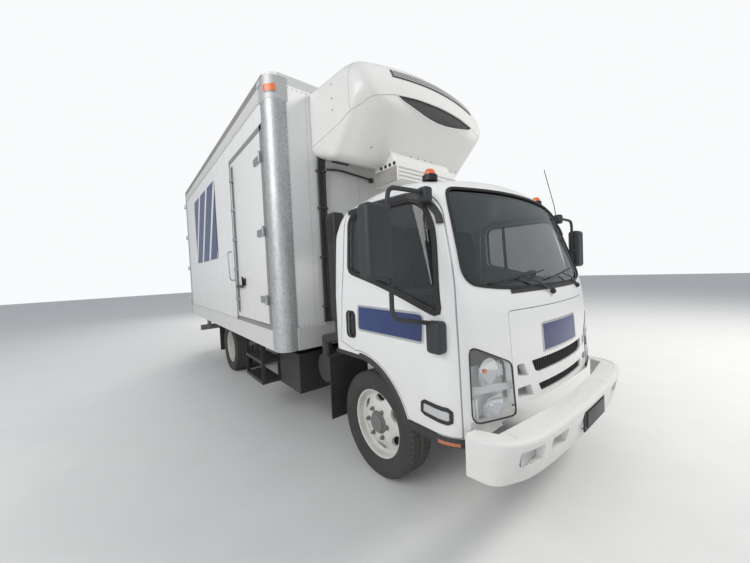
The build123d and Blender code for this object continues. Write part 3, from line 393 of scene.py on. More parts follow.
class Look:
    """A material: a principled shader with its even values, and what feeds its changing ones."""

    def __init__(self, name, **even):
        self.material = bpy.data.materials.new(name)
        self.material.use_nodes = True
        self.tree = self.material.node_tree
        self.tree.nodes.clear()
        self.output = self.tree.nodes.new("ShaderNodeOutputMaterial")
        self.shader = self.tree.nodes.new("ShaderNodeBsdfPrincipled")
        self.tree.links.new(self.shader.outputs[0], self.output.inputs[0])
        for key, value in even.items():
            self.shader.inputs[key.replace("_", " ")].default_value = value

    def node(self, kind, settings=None, inputs=None, output=0):
        """Adds any node: its settings first, then the values or links of its sockets."""
        node = self.tree.nodes.new(kind)
        for key, value in (settings or {}).items():
            setattr(node, key, value)
        for key, value in (inputs or {}).items():
            self.feed(node.inputs[key], value)
        return Amount(self, node.outputs[output])

    def feed(self, socket, value):
        if isinstance(value, Amount):
            self.tree.links.new(value.socket, socket)
        else:
            socket.default_value = value

    def vary(self, **sockets):
        for key, value in sockets.items():
            self.feed(self.shader.inputs[key.replace("_", " ")], value)
        return self

    def spot(self, scale=(1, 1, 1)):
        """Object coordinates, stretched."""
        place = self.node("ShaderNodeTexCoord", output=3)
        if scale == (1, 1, 1):
            return place
        return self.node("ShaderNodeMapping", None, {"Vector": place, "Scale": scale})

    def axes(self):
        """x, y from the front axle, and z, as three amounts."""
        split = self.node("ShaderNodeSeparateXYZ", None, {0: self.spot()}).socket.node
        x, y, z = [Amount(self, out) for out in split.outputs]
        return x, y - AXLE, z

    def noise(self, scale, detail=2.0, stretch=(1, 1, 1), rough=0.5):
        return self.node("ShaderNodeTexNoise", None,
                         {"Vector": self.spot(stretch), "Scale": scale, "Detail": detail, "Roughness": rough})

    def mix(self, factor, first, second):
        """A colour between two colours."""
        return self.node("ShaderNodeMix", dict(data_type="RGBA"), {0: factor, 6: first, 7: second}, 2)

    def relief(self, height, strength=1.0, distance=0.001):
        settings = {"Height": height, "Strength": strength, "Distance": distance}
        return self.vary(Normal=self.node("ShaderNodeBump", None, settings))


def rgb(r, g, b):
    """An opaque colour."""
    return (r, g, b, 1.0)


def shade(colour, factor, lift=0.0):
    """A colour darkened by a factor, then lifted towards white."""
    return tuple(min(c * factor + lift, 1.0) for c in colour[:3]) + (1.0,)


DUST = rgb(0.42, 0.38, 0.32)
INK_BLACK = rgb(0.008, 0.008, 0.009)
BLUE_DEEP = rgb(0.012, 0.028, 0.11)
BLUE = rgb(0.03, 0.055, 0.2)
BAR_WHITE = rgb(0.8, 0.82, 0.84)


def paint(name, colour, dust=0.35, low=0.5, high=1.3, rough=0.28):
    """Sprayed paint: faint mottling, a little orange peel, and road dust that fades out upwards."""
    look = Look(name, Coat_Weight=0.35, Coat_Roughness=0.12)
    z = look.axes()[2]
    cloud = look.noise(2.2, 4.0)
    film = (1.0 - z.above((low + high) / 2, high - low)) * dust * look.noise(9.0, 5.0) + cloud * 0.05
    tone = look.mix(look.noise(34.0, 3.0) * 0.22, colour, shade(colour, 0.86))
    look.vary(Base_Color=look.mix(film, tone, DUST), Roughness=film * 0.5 + rough)
    return look.relief(look.noise(420.0, 1.0), 0.12, 0.0006).material


def grained(name, colour, rough=0.55, grain=900.0, fade=0.35):
    """Moulded plastic: fine pebbled grain, and a dull grey bloom in patches."""
    look = Look(name)
    bloom = look.noise(3.1, 4.0)
    pale = shade(colour, 0.55, 0.09)
    look.vary(Base_Color=look.mix(bloom * fade, colour, pale), Roughness=bloom * 0.25 + (rough - 0.12))
    cells = look.node("ShaderNodeTexVoronoi", None, {"Vector": look.spot(), "Scale": grain})
    return look.relief(cells, 0.35, 0.0008).material


def metal(name, colour, rough=0.38, streak=(1, 1, 30), metallic=1.0, dull=0.3):
    """Bare metal: fine drawn streaks along one way, and dull oxide in patches."""
    look = Look(name, Metallic=metallic)
    streaks = look.noise(14.0, 3.0, streak)
    patch = look.noise(1.7, 5.0)
    oxide = (streaks * 0.5 + patch * 0.7 - 0.3) * dull * 2.0
    look.vary(Base_Color=look.mix(oxide, colour, shade(colour, 0.62)),
              Roughness=patch * 0.22 + streaks * 0.1 + (rough - 0.15))
    return look.relief(streaks, 0.15, 0.0006).material


def chassis_look(name, colour, rough=0.6):
    """Chassis paint under road grime: brown dust in clouds and a gritty surface."""
    look = Look(name)
    grime = look.noise(5.0, 6.0, rough=0.65)
    look.vary(Base_Color=look.mix(grime * 0.75, colour, rgb(0.16, 0.14, 0.12)),
              Roughness=grime * 0.3 + (rough - 0.1))
    return look.relief(look.noise(160.0, 3.0), 0.3, 0.001).material


def seams(name, axis, spacing, first, dust=0.5):
    """Riveted white panels: a lap seam at each spacing with a row of rivets on both sides of it, the laps and
    rivets coloured grey as a dark joint with painted shadow.
    """
    look = Look(name, Coat_Weight=0.15, Coat_Roughness=0.25)
    x, y, z = look.axes()
    across = ((x if axis == "x" else y) - first).near(spacing)
    lap = 1.0 - across.above(0.0022, 0.0016)
    beside = (across - 0.018).absolute()
    along = z.near(0.1)
    reach = (beside * beside + along * along).maths("SQRT")
    rivet = 1.0 - reach.above(0.0055, 0.003)
    streaks = look.noise(3.0, 5.0, (4, 4, 0.35))
    patch = look.noise(0.8, 3.0)
    grime = (1.0 - z.above(1.35, 0.9)) * dust * look.noise(7.0, 5.0) + streaks * 0.09 + patch * 0.05
    tone = look.mix(grime, rgb(0.84, 0.845, 0.84), rgb(0.47, 0.44, 0.39))
    # Painted shadow: laps and rivets are coloured grey. This is the lap's dark joint, together with the
    # shadow along it and round each rivet.
    look.vary(Base_Color=look.mix(lap * 0.55 + rivet * 0.25, tone, rgb(0.35, 0.36, 0.37)),
              Roughness=grime * 0.4 + 0.34)
    return look.relief(rivet - lap * 0.8 + patch * 0.4, 0.7, 0.003).material


def lens_look(name, colour, alpha, rough=0.08, rib=0.0):
    """Moulded lens, with fine ribs inside where it has them."""
    look = Look(name, Alpha=alpha, IOR=1.5, Coat_Weight=0.6, Coat_Roughness=0.03)
    haze = look.noise(26.0, 3.0)
    pale = shade(colour, 0.8, 0.12)
    look.vary(Base_Color=look.mix(haze * 0.4, colour, pale), Roughness=haze * 0.08 + rough)
    if rib:
        x, _, z = look.axes()
        look.relief((x + z * 0.2).near(rib) * (2.0 / rib), 0.5, 0.002)
    return look.material


def glass_look(name, tint, alpha, frit=None):
    """Window glass. frit holds a sheet's width and height and the width of the black border printed on it.

    The border hides the seal. It is read from the sheet's UV map: the lesser of the distances from its edges.
    """
    look = Look(name, Roughness=0.02, IOR=1.52, Specular_IOR_Level=0.8, Coat_Weight=0.4, Coat_Roughness=0.02)
    smear = look.noise(4.0, 5.0) * 0.05
    if frit is None:
        look.vary(Base_Color=look.mix(smear * 2.0, tint, rgb(0.3, 0.32, 0.33)), Alpha=smear + alpha)
        return look.material
    width, height, edge = frit
    sheet = look.node("ShaderNodeTexCoord", output=2)
    split = look.node("ShaderNodeSeparateXYZ", None, {0: sheet}).socket.node
    u, v = [Amount(look, out) for out in split.outputs[:2]]
    from_side = (0.5 - (u - 0.5).absolute()) * width
    from_end = (0.5 - (v - 0.5).absolute()) * height
    border = 1.0 - from_side.lesser(from_end).above(edge, 0.012)
    look.vary(Base_Color=look.mix(border, tint, INK_BLACK), Alpha=border.greater(smear + alpha))
    return look.material


def tyre_look():
    """Tyre rubber: dusty grey-brown sidewalls, darker tread, and rings moulded in the wall."""
    look = Look("tyre_rubber")
    _, y, z = look.axes()
    dust = look.noise(6.0, 5.0)
    up, back = z - TYRE_R, y - WHEELBASE
    front = (y * y + up * up).maths("SQRT")
    rear = (back * back + up * up).maths("SQRT")
    wall = front.lesser(rear)
    worn = wall.above(TREAD_R, 0.02) * 0.25 + dust * 0.45
    look.vary(Base_Color=look.mix(worn, rgb(0.022, 0.022, 0.023), rgb(0.13, 0.12, 0.11)),
              Roughness=dust * 0.2 + 0.66)
    rings = wall.near(0.012) * 160.0
    return look.relief(rings * 0.4 + look.noise(300.0, 2.0), 0.35, 0.0015).material


def woven(name, colour, pale, pitch=0.004):
    """Seat cloth: warp and weft threads crossing at a small pitch, worn paler in patches."""
    look = Look(name, Sheen_Weight=0.3, Roughness=0.85)
    x, y, z = look.axes()
    warp = x.near(pitch) * (2.0 / pitch)
    weft = (y + z).near(pitch) * (2.0 / pitch)
    threads = warp.greater(weft)
    look.vary(Base_Color=look.mix(threads * 0.5 + look.noise(5.0, 3.0) * 0.4, colour, pale))
    return look.relief(threads, 0.6, 0.0012).material


def mesh_with_painted_shade(name, colour, pitch):
    """Woven wire mesh on a solid sheet: wires at both slants, and the gaps between them painted near black as
    painted shade of the dark space behind.
    """
    look = Look(name, Roughness=0.5)
    x, _, z = look.axes()
    wires = (x + z).near(pitch).lesser((x - z).near(pitch))
    wire = 1.0 - wires.above(pitch * 0.13, pitch * 0.08)
    # Painted shade: the gaps between the wires are coloured near black.
    look.vary(Base_Color=look.mix(wire, rgb(0.006, 0.006, 0.007), colour))
    return look.relief(wire, 0.8, 0.002).material


def fins(name):
    """Fine upright aluminium fins, some of them bent over, painted on a flat face with painted shade in the
    gaps between them.
    """
    look = Look(name, Metallic=0.7)
    x, y, _ = look.axes()
    fin = (x + y + look.noise(7.0, 2.0) * 0.01).near(0.009) * 220.0
    # Painted shade: dark brown-grey at each gap between the fins, and pale aluminium on the fins.
    look.vary(Base_Color=look.mix(fin, rgb(0.16, 0.15, 0.14), rgb(0.55, 0.53, 0.5)),
              Roughness=look.noise(20.0) * 0.3 + 0.35)
    return look.relief(fin, 0.7, 0.003).material


def sign_look(name, wide, high, axis, bars=False):
    """A blank blue sign, from its range across and in height: a field that fades across, and pale bars."""
    look = Look(name, Coat_Weight=0.3)
    x, y, z = look.axes()
    a = ((x if axis == "x" else y) - (wide[0] + wide[1]) / 2) / (wide[1] - wide[0])
    b = (z - (high[0] + high[1]) / 2) / (high[1] - high[0])
    field = look.mix((a + 0.5) * 0.5 + look.noise(8.0, 3.0) * 0.2, BLUE_DEEP, BLUE)
    if bars:
        slant = (a + b * 0.35).near(0.34)
        field = look.mix(1.0 - slant.above(0.035, 0.01), field, BAR_WHITE)
    look.vary(Base_Color=field, Roughness=look.noise(40.0) * 0.15 + 0.3)
    return look.relief(look.noise(300.0), 0.1, 0.0005).material


def rail_with_painted_shade():
    """Box rails: pale weathered aluminium low down, and a darker grey along the roof's edge that is painted
    shade.
    """
    look = Look("side_rail_painted_shade", Metallic=0.25)
    z = look.axes()[2]
    streaks = look.noise(14.0, 3.0, (20, 0.4, 20))
    patch = look.noise(1.7, 5.0)
    low = look.mix(patch * 0.4, rgb(0.76, 0.76, 0.74), rgb(0.5, 0.49, 0.46))
    # Painted shade: the rail along the roof's edge is coloured a darker grey.
    high = look.mix(patch * 0.6, rgb(0.33, 0.33, 0.31), rgb(0.2, 0.2, 0.18))
    look.vary(Base_Color=look.mix(z.above(3.405, 0.01), low, high),
              Roughness=patch * 0.22 + streaks * 0.1 + 0.35)
    return look.relief(streaks, 0.15, 0.0006).material


def post_look():
    """Galvanised sheet: pale and dark crystal patches and a dull brushed shine."""
    look = Look("post_sheet", Metallic=0.8)
    grain = {"Vector": look.spot((1, 1, 0.45)), "Scale": 70.0}
    cells = look.node("ShaderNodeTexVoronoi", None, grain, 1)
    patch = look.noise(2.3, 5.0)
    scuff = look.noise(24.0, 4.0, (1, 1, 0.2))
    flake = look.node("ShaderNodeSeparateColor", None, {0: cells})
    look.vary(Base_Color=look.mix(flake * 0.35 + patch * 0.45, rgb(0.66, 0.67, 0.68), rgb(0.36, 0.37, 0.37)),
              Roughness=scuff * 0.3 + 0.36)
    return look.relief(scuff, 0.25, 0.001).material


def box_lamp_look():
    """Red moulded lens behind, and cast metal on the two low blocks at the box's front corners."""
    look = Look("box_lamp_lens", IOR=1.5, Coat_Weight=0.4, Coat_Roughness=0.05)
    x, y, z = look.axes()
    haze = look.noise(26.0, 3.0) * 0.3
    rear = look.mix(haze, rgb(0.5, 0.012, 0.008), rgb(0.55, 0.08, 0.06))
    front = look.mix(haze, rgb(0.55, 0.55, 0.54), rgb(0.4, 0.4, 0.39))
    look.vary(Base_Color=look.mix(y.above(3.0, 0.01), front, rear), Roughness=haze * 0.4 + 0.2)
    return look.relief((x + z * 0.2).near(0.012) * 160.0, 0.5, 0.002).material


WHITE = paint("white_paint", rgb(0.82, 0.825, 0.82))
WHITE_WORN = paint("bumper_white", rgb(0.8, 0.8, 0.78), dust=0.5, low=0.3, high=0.9, rough=0.36)
UNIT_WHITE = paint("unit_white", rgb(0.8, 0.8, 0.775), dust=0.0, rough=0.34)
RIM_WHITE = paint("rim_white", rgb(0.76, 0.76, 0.74), dust=0.9, low=0.0, high=1.2, rough=0.38)
SIDE_PANEL = seams("side_panels", "y", 0.406, 0.12)
FRONT_PANEL = seams("front_panels", "x", 0.61, 0.305, dust=0.2)
ROOF_PANEL = seams("roof_panels", "y", 1.22, 0.912)
DOOR_PANEL = paint("door_gel_coat", rgb(0.8, 0.8, 0.78), dust=0.45, low=0.9, high=1.9, rough=0.36)
ALUMINIUM = metal("aluminium", rgb(0.66, 0.67, 0.68))
RAIL = rail_with_painted_shade()
POST_SHEET = post_look()
FRAME_METAL = metal("door_frame_metal", rgb(0.4, 0.4, 0.385), rough=0.5, metallic=0.7, dull=0.4)
# Painted shade: the rivet heads are coloured dark grey to stand for the small shadows round them.
RIVET_METAL_PAINTED_SHADE = metal("rivet_metal_painted_shade", rgb(0.22, 0.22, 0.22), rough=0.5, streak=(3, 3, 3), metallic=0.6)
GALVANISED = metal("galvanised_steel", rgb(0.5, 0.51, 0.52), rough=0.5, streak=(3, 3, 3), dull=0.5)
CAP_METAL = metal("cap_casting", rgb(0.6, 0.6, 0.59), rough=0.5, streak=(3, 3, 3), metallic=0.6, dull=0.25)
CHROME = metal("reflector", rgb(0.86, 0.87, 0.88), rough=0.24, streak=(1, 1, 1), dull=0.12)
LAMP_SILVER = metal("lamp_silver", rgb(0.88, 0.89, 0.9), rough=0.4, streak=(1, 1, 1), metallic=0.15, dull=0.1)
BLACK = grained("black_plastic", rgb(0.022, 0.022, 0.024))
TRIM = grained("smooth_black_trim", rgb(0.014, 0.014, 0.015), rough=0.4, grain=1400.0, fade=0.2)
SEAL = grained("window_rubber", rgb(0.012, 0.012, 0.012), rough=0.6, grain=1600.0, fade=0.2)
DASH = grained("dash_plastic", rgb(0.075, 0.075, 0.08), grain=1100.0)
CHASSIS = chassis_look("chassis_black", rgb(0.022, 0.022, 0.023))
DULL_METAL = chassis_look("dull_steel", rgb(0.2, 0.2, 0.205), rough=0.5)
MIRROR_GREY = grained("mirror_charcoal", rgb(0.03, 0.032, 0.036), rough=0.5, fade=0.15)
ENGINE = chassis_look("engine_cast", rgb(0.15, 0.15, 0.15))
HOSE = grained("hose_rubber", rgb(0.014, 0.014, 0.014), rough=0.55, grain=1500.0)
GLASS = glass_look("side_glass", rgb(0.02, 0.026, 0.025), 0.42)
WINDSCREEN_GLASS = glass_look("windscreen_glass", rgb(0.03, 0.05, 0.048), 0.36, frit=(1.8, 0.68, 0.045))
CLEAR = lens_look("clear_lens", rgb(0.85, 0.86, 0.87), 0.08)
RIBBED = lens_look("ribbed_lens", rgb(0.62, 0.63, 0.64), 0.7, rib=0.012)
AMBER = lens_look("amber_lens", rgb(0.85, 0.15, 0.01), 1.0, rough=0.15, rib=0.012)
OLD_AMBER = lens_look("weathered_amber", rgb(0.42, 0.12, 0.03), 1.0, rough=0.3, rib=0.012)
BOX_LAMP = box_lamp_look()
TYRE = tyre_look()
CLOTH = woven("seat_cloth", rgb(0.03, 0.032, 0.036), rgb(0.12, 0.12, 0.13))
MESH = mesh_with_painted_shade("grille_mesh_painted_shade", rgb(0.16, 0.16, 0.165), 0.018)
FINS = fins("cooling_fins_painted_shade")


# Camera, solved from the photograph's own perspective: metres from the front axle, degrees, millimetres

CAMERA_AT = (-2.3678, -4.2426, 1.5929)
YAW, PITCH, ROLL = radians(39.029), radians(-1.897), radians(-2.547)
SENSOR, LENS = 36.0, 14.591


def set_camera():
    """The camera looks ahead by its yaw and pitch, and is rolled about that line."""
    ahead = np.array([np.sin(YAW) * np.cos(PITCH), np.cos(YAW) * np.cos(PITCH), np.sin(PITCH)])
    level = unit(np.cross(ahead, (0, 0, 1)))
    up = np.cross(level, ahead)
    right = np.cos(ROLL) * level + np.sin(ROLL) * up
    top = -np.sin(ROLL) * level + np.cos(ROLL) * up
    data = bpy.data.cameras.new("camera")
    data.sensor_width, data.lens, data.sensor_fit = SENSOR, LENS, "HORIZONTAL"
    data.clip_start, data.clip_end = 0.05, 200.0
    camera = linked("camera", data)
    camera.matrix_world = Matrix(np.column_stack([right, top, -ahead]).tolist()).to_4x4()
    camera.location = CAMERA_AT
    bpy.context.scene.camera = camera


set_camera()


# Cab. Its skin is a form: a value that is zero on the skin and grows outwards.

CAB_HALF, BELT_Z, ROOF_Z, CAB_BACK, CAB_FOOT = 1.035, 1.4, 2.262, 0.363, 0.42


def cab_form(p):
    """Distances from the flanks, nose, roof and back, joined by round_max.

    The flanks lean in above the belt. The nose is two raked planes blended by a hyperbola and bowed by x
    squared, and the roof is domed by x squared and y squared.
    """
    x, y, z = np.abs(p[..., 0]), p[..., 1], p[..., 2]
    over = z - BELT_Z
    half = CAB_HALF - 0.0611 * np.maximum(over, 0)
    lower = -1.035 + 0.0478 * (z - 0.5)
    upper = -0.992 + 0.38 * over
    front = (lower + upper + np.hypot(upper - lower, 0.03)) / 2
    bow = 0.152 - 0.036 * np.clip(over / 0.9, 0, 1)
    flanks = round_max(x - half, front + bow * x ** 2 - y, 0.15)
    back, fore = np.maximum(y + 0.2, 0), np.minimum(y + 0.2, 0)
    roof = z - ROOF_Z + 0.1124 * x ** 2 + 0.45 * back ** 2 + 0.2 * fore ** 2
    edge = 0.12 - 0.065 * np.clip(y / 0.2, 0, 1)
    body = round_max(flanks, round_max(roof, y - CAB_BACK, 0.18), edge)
    return np.maximum(body, CAB_FOOT - z)


def on_side(outline, inset=0.0):
    """Points of a side-view outline (y, z), set on the cab's left flank."""
    outline = np.asarray(outline, float)
    start = np.insert(outline, 0, 0.3, 1)
    return meet(cab_form, start, (1.0, 0.0, 0.0), 1.2, inset)


def on_front(outline, inset=0.0):
    """Points of a front-view outline (x, z), set on the cab's nose."""
    outline = np.asarray(outline, float)
    start = np.insert(outline, 1, -0.35, 1)
    return meet(cab_form, start, (0.0, -1.0, 0.0), 1.2, inset)


def cab_band(outline, place, profile, closed=True, step=0.025, inset=0.0):
    """A profile carried along an outline on the cab's skin, upright to the skin all along."""
    path = place(evenly(outline, step, closed), inset)
    return sweep(path, slope(cab_form, path), profile, closed)


ARCH_Y, ARCH_Z, ARCH_R, DOOR_R = 0.02, 0.46, 0.49, 0.538


def arc(radius, first, last, count):
    """Points round the wheel arch, the angle counted from straight up towards the rear."""
    a = np.linspace(first, last, count)
    return np.stack([ARCH_Y + radius * np.sin(a), ARCH_Z + radius * np.cos(a)], -1)


def door_line(gap=0.0):
    """Outline of a door from the side, or of its opening when drawn out by a gap."""
    radius = DOOR_R - gap
    edge = arc(radius, np.arcsin(0.06 / radius), -np.arccos((0.19 - gap) / radius), 28)
    rear = gap * 1.75
    corners = [(-0.843 - gap, 0.65 - gap), (-0.821 - gap, 1.3), (-0.797 - gap, 1.52),
               (-0.668 - 0.95 * gap, 1.971 + 0.42 * gap), (-0.612 - 0.55 * gap, 2.055 + gap),
               (0.134, 2.072 + gap), (0.196 + rear, 1.992), (0.208 + rear, 1.6), (0.262 + gap, 1.04 - gap)]
    upper = bend(corners, (0.02, 0.3, 0.3, 0.06, 0.06, 0.06, 0.08, 0.3, 0.03), steps=7)
    return np.concatenate([upper, edge])


# Outlines on the flanks are (y, z), and those on the nose are (x, z).
WINDOW = bend([(0.135, 1.6), (-0.3, 1.487), (-0.745, 1.33), (-0.692, 1.72), (-0.655, 1.88), (-0.575, 2.028),
               (0.085, 2.038), (0.135, 1.988)], (0.05, 0.2, 0.035, 0.2, 0.1, 0.09, 0.04, 0.04), closed=True)
WINDSCREEN = bend([(-0.895, 1.5), (-0.56, 1.45), (0.56, 1.45), (0.895, 1.5), (0.8, 2.105), (0, 2.135),
                   (-0.8, 2.105)], (0.1, 0.25, 0.25, 0.1, 0.1, 0.4, 0.1), closed=True)
REAR_WINDOW = bend([(-0.575, 1.55), (0.575, 1.55), (0.575, 1.97), (-0.575, 1.97)], 0.07, closed=True)
LAMP = bend([(0.62, 1.015), (0.925, 1.155), (0.935, 0.725), (0.612, 0.7)], (0.03, 0.05, 0.05, 0.03),
            closed=True)
LID = bend([(-0.612, 0.75), (0.612, 0.75), (0.612, 1.316), (-0.612, 1.316)], 0.03, closed=True)
LID_HOLE = bend([(-0.617, 0.6), (0.617, 0.6), (0.617, 1.321), (-0.617, 1.321)], 0.033, closed=True)
HANDLE = bend([(0.064, 1.09), (0.175, 1.09), (0.175, 1.29), (0.064, 1.29)], 0.03, closed=True)
MIDDLE_SLOTS = [bend([(-0.4, 0.922), (-0.35, 0.905), (0.35, 0.905), (0.4, 0.922), (0.43, 0.99),
                      (-0.43, 0.99)], 0.012, closed=True),
                bend([(-0.345, 0.778), (0.345, 0.778), (0.375, 0.835), (-0.375, 0.835)], 0.012, closed=True)]
SIDE_SLOTS = [bend([(0.47, 0.905), (0.575, 0.925), (0.575, 0.99), (0.51, 0.99)], 0.01, closed=True),
              bend([(0.43, 0.778), (0.585, 0.79), (0.585, 0.85), (0.46, 0.85)], 0.01, closed=True)]


def underneath(grow):
    """What is cut from under the cab, in side view: the nose, sill, wheel arch and rear floor."""
    start = -np.arccos((0.14 + grow) / (ARCH_R + grow))
    round_arch = arc(ARCH_R + grow, start, 0, 24)
    return np.concatenate([[(-1.5, 0.2), (-1.5, 0.735 + grow), (-0.873 + grow, 0.735 + grow),
                            (-0.873 + grow, 0.6 + grow)], round_arch,
                           [(0.02, 0.966 + grow), (0.7, 0.966 + grow), (0.7, 0.2)]])


def cab_walls():
    """The whole cab as one thick shell, open nowhere yet: its outer form less its inner form."""
    core = ((-0.78, -0.5, 0.75), (0.78, 0.1, 1.95))
    outer = raw("outer", cast(cab_form, *core, (62, 24, 48)))
    carve(outer, prism(underneath(0.0), 0, -1.3, 1.3), block((-0.355, 0.355), (-0.65, 0.8), (0.3, 0.968)),
          block((-0.44, 0.44), (-0.88, 0.8), (0.3, 0.866)))
    inner = raw("inner", cast(cab_form, *core, (40, 16, 32), fan=5, inset=0.05))
    carve(inner, prism(underneath(0.05), 0, -1.3, 1.3), block((-0.405, 0.405), (-0.7, 0.8), (0.3, 1.018)),
          block((-0.49, 0.49), (-0.93, 0.8), (0.3, 0.916)))
    carve(outer, inner)
    bpy.data.objects.remove(inner)
    return outer


walls = cab_walls()


def front_cut(outline, back=-0.85):
    """A cutter through the cab's nose with a front-view outline."""
    return prism(outline, 1, -1.3, back)


cab_skin = copied(walls, "cab_skin")
opening = prism(door_line(0.007), 0, 0.845, 1.3)
carve(cab_skin, opening, mirrored(opening), front_cut(WINDSCREEN, -0.45), prism(REAR_WINDOW, 1, 0.2, 0.6),
      front_cut(LID_HOLE))
lamp_hole = front_cut(LAMP + (LAMP - LAMP.mean(0)) * 0.012, -0.8)
carve(cab_skin, lamp_hole, mirrored(lamp_hole))
dress(cab_skin, "cab", "white_paint", WHITE, replaces=("cab_shell",))

door = copied(walls, "door_left_skin")
carve(door, prism(door_line(), 0, 0.86, 1.3), operation="INTERSECT")
carve(door, prism(WINDOW, 0, 0.8, 1.3), prism(HANDLE, 0, 1.012, 1.2))
door_right = twin(door, "door_right_skin")
dress(door, "door_left", "white_paint", WHITE, replaces=("cab_door_left",))
dress(door_right, "door_right", "white_paint", WHITE, replaces=("cab_door_right",))

lid = copied(walls, "front_lid_skin")
carve(lid, front_cut(LID), operation="INTERSECT")
side_cuts = [front_cut(line) for line in SIDE_SLOTS]
carve(lid, *[front_cut(line) for line in MIDDLE_SLOTS], *side_cuts, *[mirrored(cut) for cut in side_cuts])
dress(lid, "cab", "white_paint", WHITE, replaces=("front_lid",))
bpy.data.objects.remove(walls)


def cab_sheet(bottom, top, place, inset, thick, across, up):
    """A curved sheet between a lower and an upper line, each point set on the cab's form, with thickness."""
    s = np.linspace(0, 1, across + 1)
    low, high = evenly(bottom, 1e-3), evenly(top, 1e-3)
    low = np.stack([np.interp(s, np.linspace(0, 1, len(low)), low[:, k]) for k in (0, 1)], -1)
    high = np.stack([np.interp(s, np.linspace(0, 1, len(high)), high[:, k]) for k in (0, 1)], -1)
    t = np.linspace(0, 1, up + 1)[:, None, None]
    flat = ((1 - t) * low + t * high).reshape(-1, 2)
    count = len(flat)
    quads = grid(up + 1, across + 1)
    rim = np.concatenate([np.arange(across), np.arange(up) * (across + 1) + across,
                          up * (across + 1) + np.arange(across, 0, -1), np.arange(up, 0, -1) * (across + 1)])
    edge = np.stack([rim, np.roll(rim, -1), np.roll(rim, -1) + count, rim + count], -1)
    return shell(np.concatenate([place(flat, inset), place(flat, inset + thick)]),
                 np.concatenate([quads, quads[:, ::-1] + count, edge]))


def sheet_uv(across, up):
    """UV map of a cab_sheet: each point's share of the way across and up, for both of its faces."""
    uv = np.stack(np.meshgrid(np.linspace(0, 1, across + 1), np.linspace(0, 1, up + 1)), -1).reshape(-1, 2)
    return np.concatenate([uv, uv])


def with_uv(name, s, uv):
    """A mesh object from a shell, with a UV place for each of its points."""
    mesh = bpy.data.meshes.new(name)
    mesh.from_pydata((s[0] + (0, AXLE, 0)).tolist(), [], s[1].tolist())
    layer = mesh.uv_layers.new(name="sheet")
    corner = np.empty(len(mesh.loops), np.int32)
    mesh.loops.foreach_get("vertex_index", corner)
    layer.data.foreach_set("uv", uv[corner].astype(np.float32).ravel())
    edit = bmesh.new()
    edit.from_mesh(mesh)
    bmesh.ops.recalc_face_normals(edit, faces=edit.faces)
    edit.to_mesh(mesh)
    edit.free()
    return linked(name, mesh)


# Glass
ACROSS, UP = 60, 28
screen = cab_sheet([(-0.905, 1.485), (-0.56, 1.437), (0.56, 1.437), (0.905, 1.485)],
                   [(-0.812, 2.112), (0, 2.144), (0.812, 2.112)], on_front, 0.012, 0.006, ACROSS, UP)
dress(with_uv("windscreen", screen, sheet_uv(ACROSS, UP)), "cab", "glass", WINDSCREEN_GLASS,
      replaces=("cab_glass",))
part("rear_window", prism(REAR_WINDOW, 1, 0.345, 0.351), "cab", "glass", GLASS)
pane = cab_sheet([(-0.752, 1.322), (-0.3, 1.48), (0.142, 1.596)],
                 [(-0.578, 2.036), (0.08, 2.044), (0.14, 2.0)], on_side, 0.018, 0.005, 30, 16)
pair("pane", pane, "door", "glass", GLASS, "door_glass")


def front_strip(x, width, low, high, inset, thick, across=1, up=3):
    """A narrow upright strip that follows the cab's nose between two heights."""
    return cab_sheet([(x, low), (x + width, low)], [(x, high), (x + width, high)], on_front, inset, thick,
                     across, up)


slot_fins = [front_strip(x, 0.006, 0.9, 0.995, 0.012, 0.02) for x in np.arange(-0.39, 0.39, 0.026)]
slot_fins += [front_strip(x, 0.006, 0.772, 0.84, 0.012, 0.02) for x in np.arange(-0.36, 0.36, 0.026)]
part("lid_slot_fins", join(*slot_fins), "cab", "black_plastic", BLACK)

# Rubber seals and the quarter window's bar
seal = rectangle(0.022, 0.014, 0.004)
part("windscreen_seal", cab_band(WINDSCREEN, on_front, seal), "cab", "black_plastic", SEAL)
rear_path = np.insert(evenly(REAR_WINDOW, 0.03, True), 1, 0.362, 1)
part("rear_window_seal", sweep(rear_path, (0, 1, 0), seal, True), "cab", "black_plastic", SEAL)
bar = cab_band([(-0.08, 1.53), (-0.07, 2.036)], on_side, rectangle(0.034, 0.014, 0.004), False, inset=0.012)
frame_band = join(cab_band(WINDOW, on_side, rectangle(0.032, 0.014, 0.004), inset=-0.001), bar)
pair("door_seal", frame_band, "door", "black_plastic", SEAL)

# Belt line: a shallow pressed edge under the side window
belt = cab_band([(0.2, 1.575), (-0.3, 1.445), (-0.79, 1.272)], on_side, rectangle(0.012, 0.006, 0.002), False)
pair("belt", belt, "door", "white_paint", WHITE)

# Door handle: a black cup and a bar across it
cup = cab_band(HANDLE, on_side, rectangle(0.014, 0.01, 0.003))
back_outline = bend([(0.06, 1.086), (0.179, 1.086), (0.179, 1.294), (0.06, 1.294)], 0.03, closed=True)
grip = soft_box((1.02, 0.085, 1.11), (1.036, 0.118, 1.27), 0.007)
handle = join(cup, prism(back_outline, 0, 1.004, 1.014), grip)
pair("door_handle", handle, "door", "black_plastic", TRIM)

# Rain visor over the side window
visor_line = [(-0.692, 1.86), (-0.672, 1.93), (-0.585, 2.05), (-0.1, 2.066), (0.13, 2.06)]
visor_profile = [(-0.022, 0.0), (0.024, 0.0), (0.027, 0.008), (0.0, 0.02), (-0.02, 0.008)]
visor = cab_band(bend(visor_line, 0.1), on_side, visor_profile, False, inset=-0.002)
pair("visor", visor, "door", "black_plastic", TRIM)

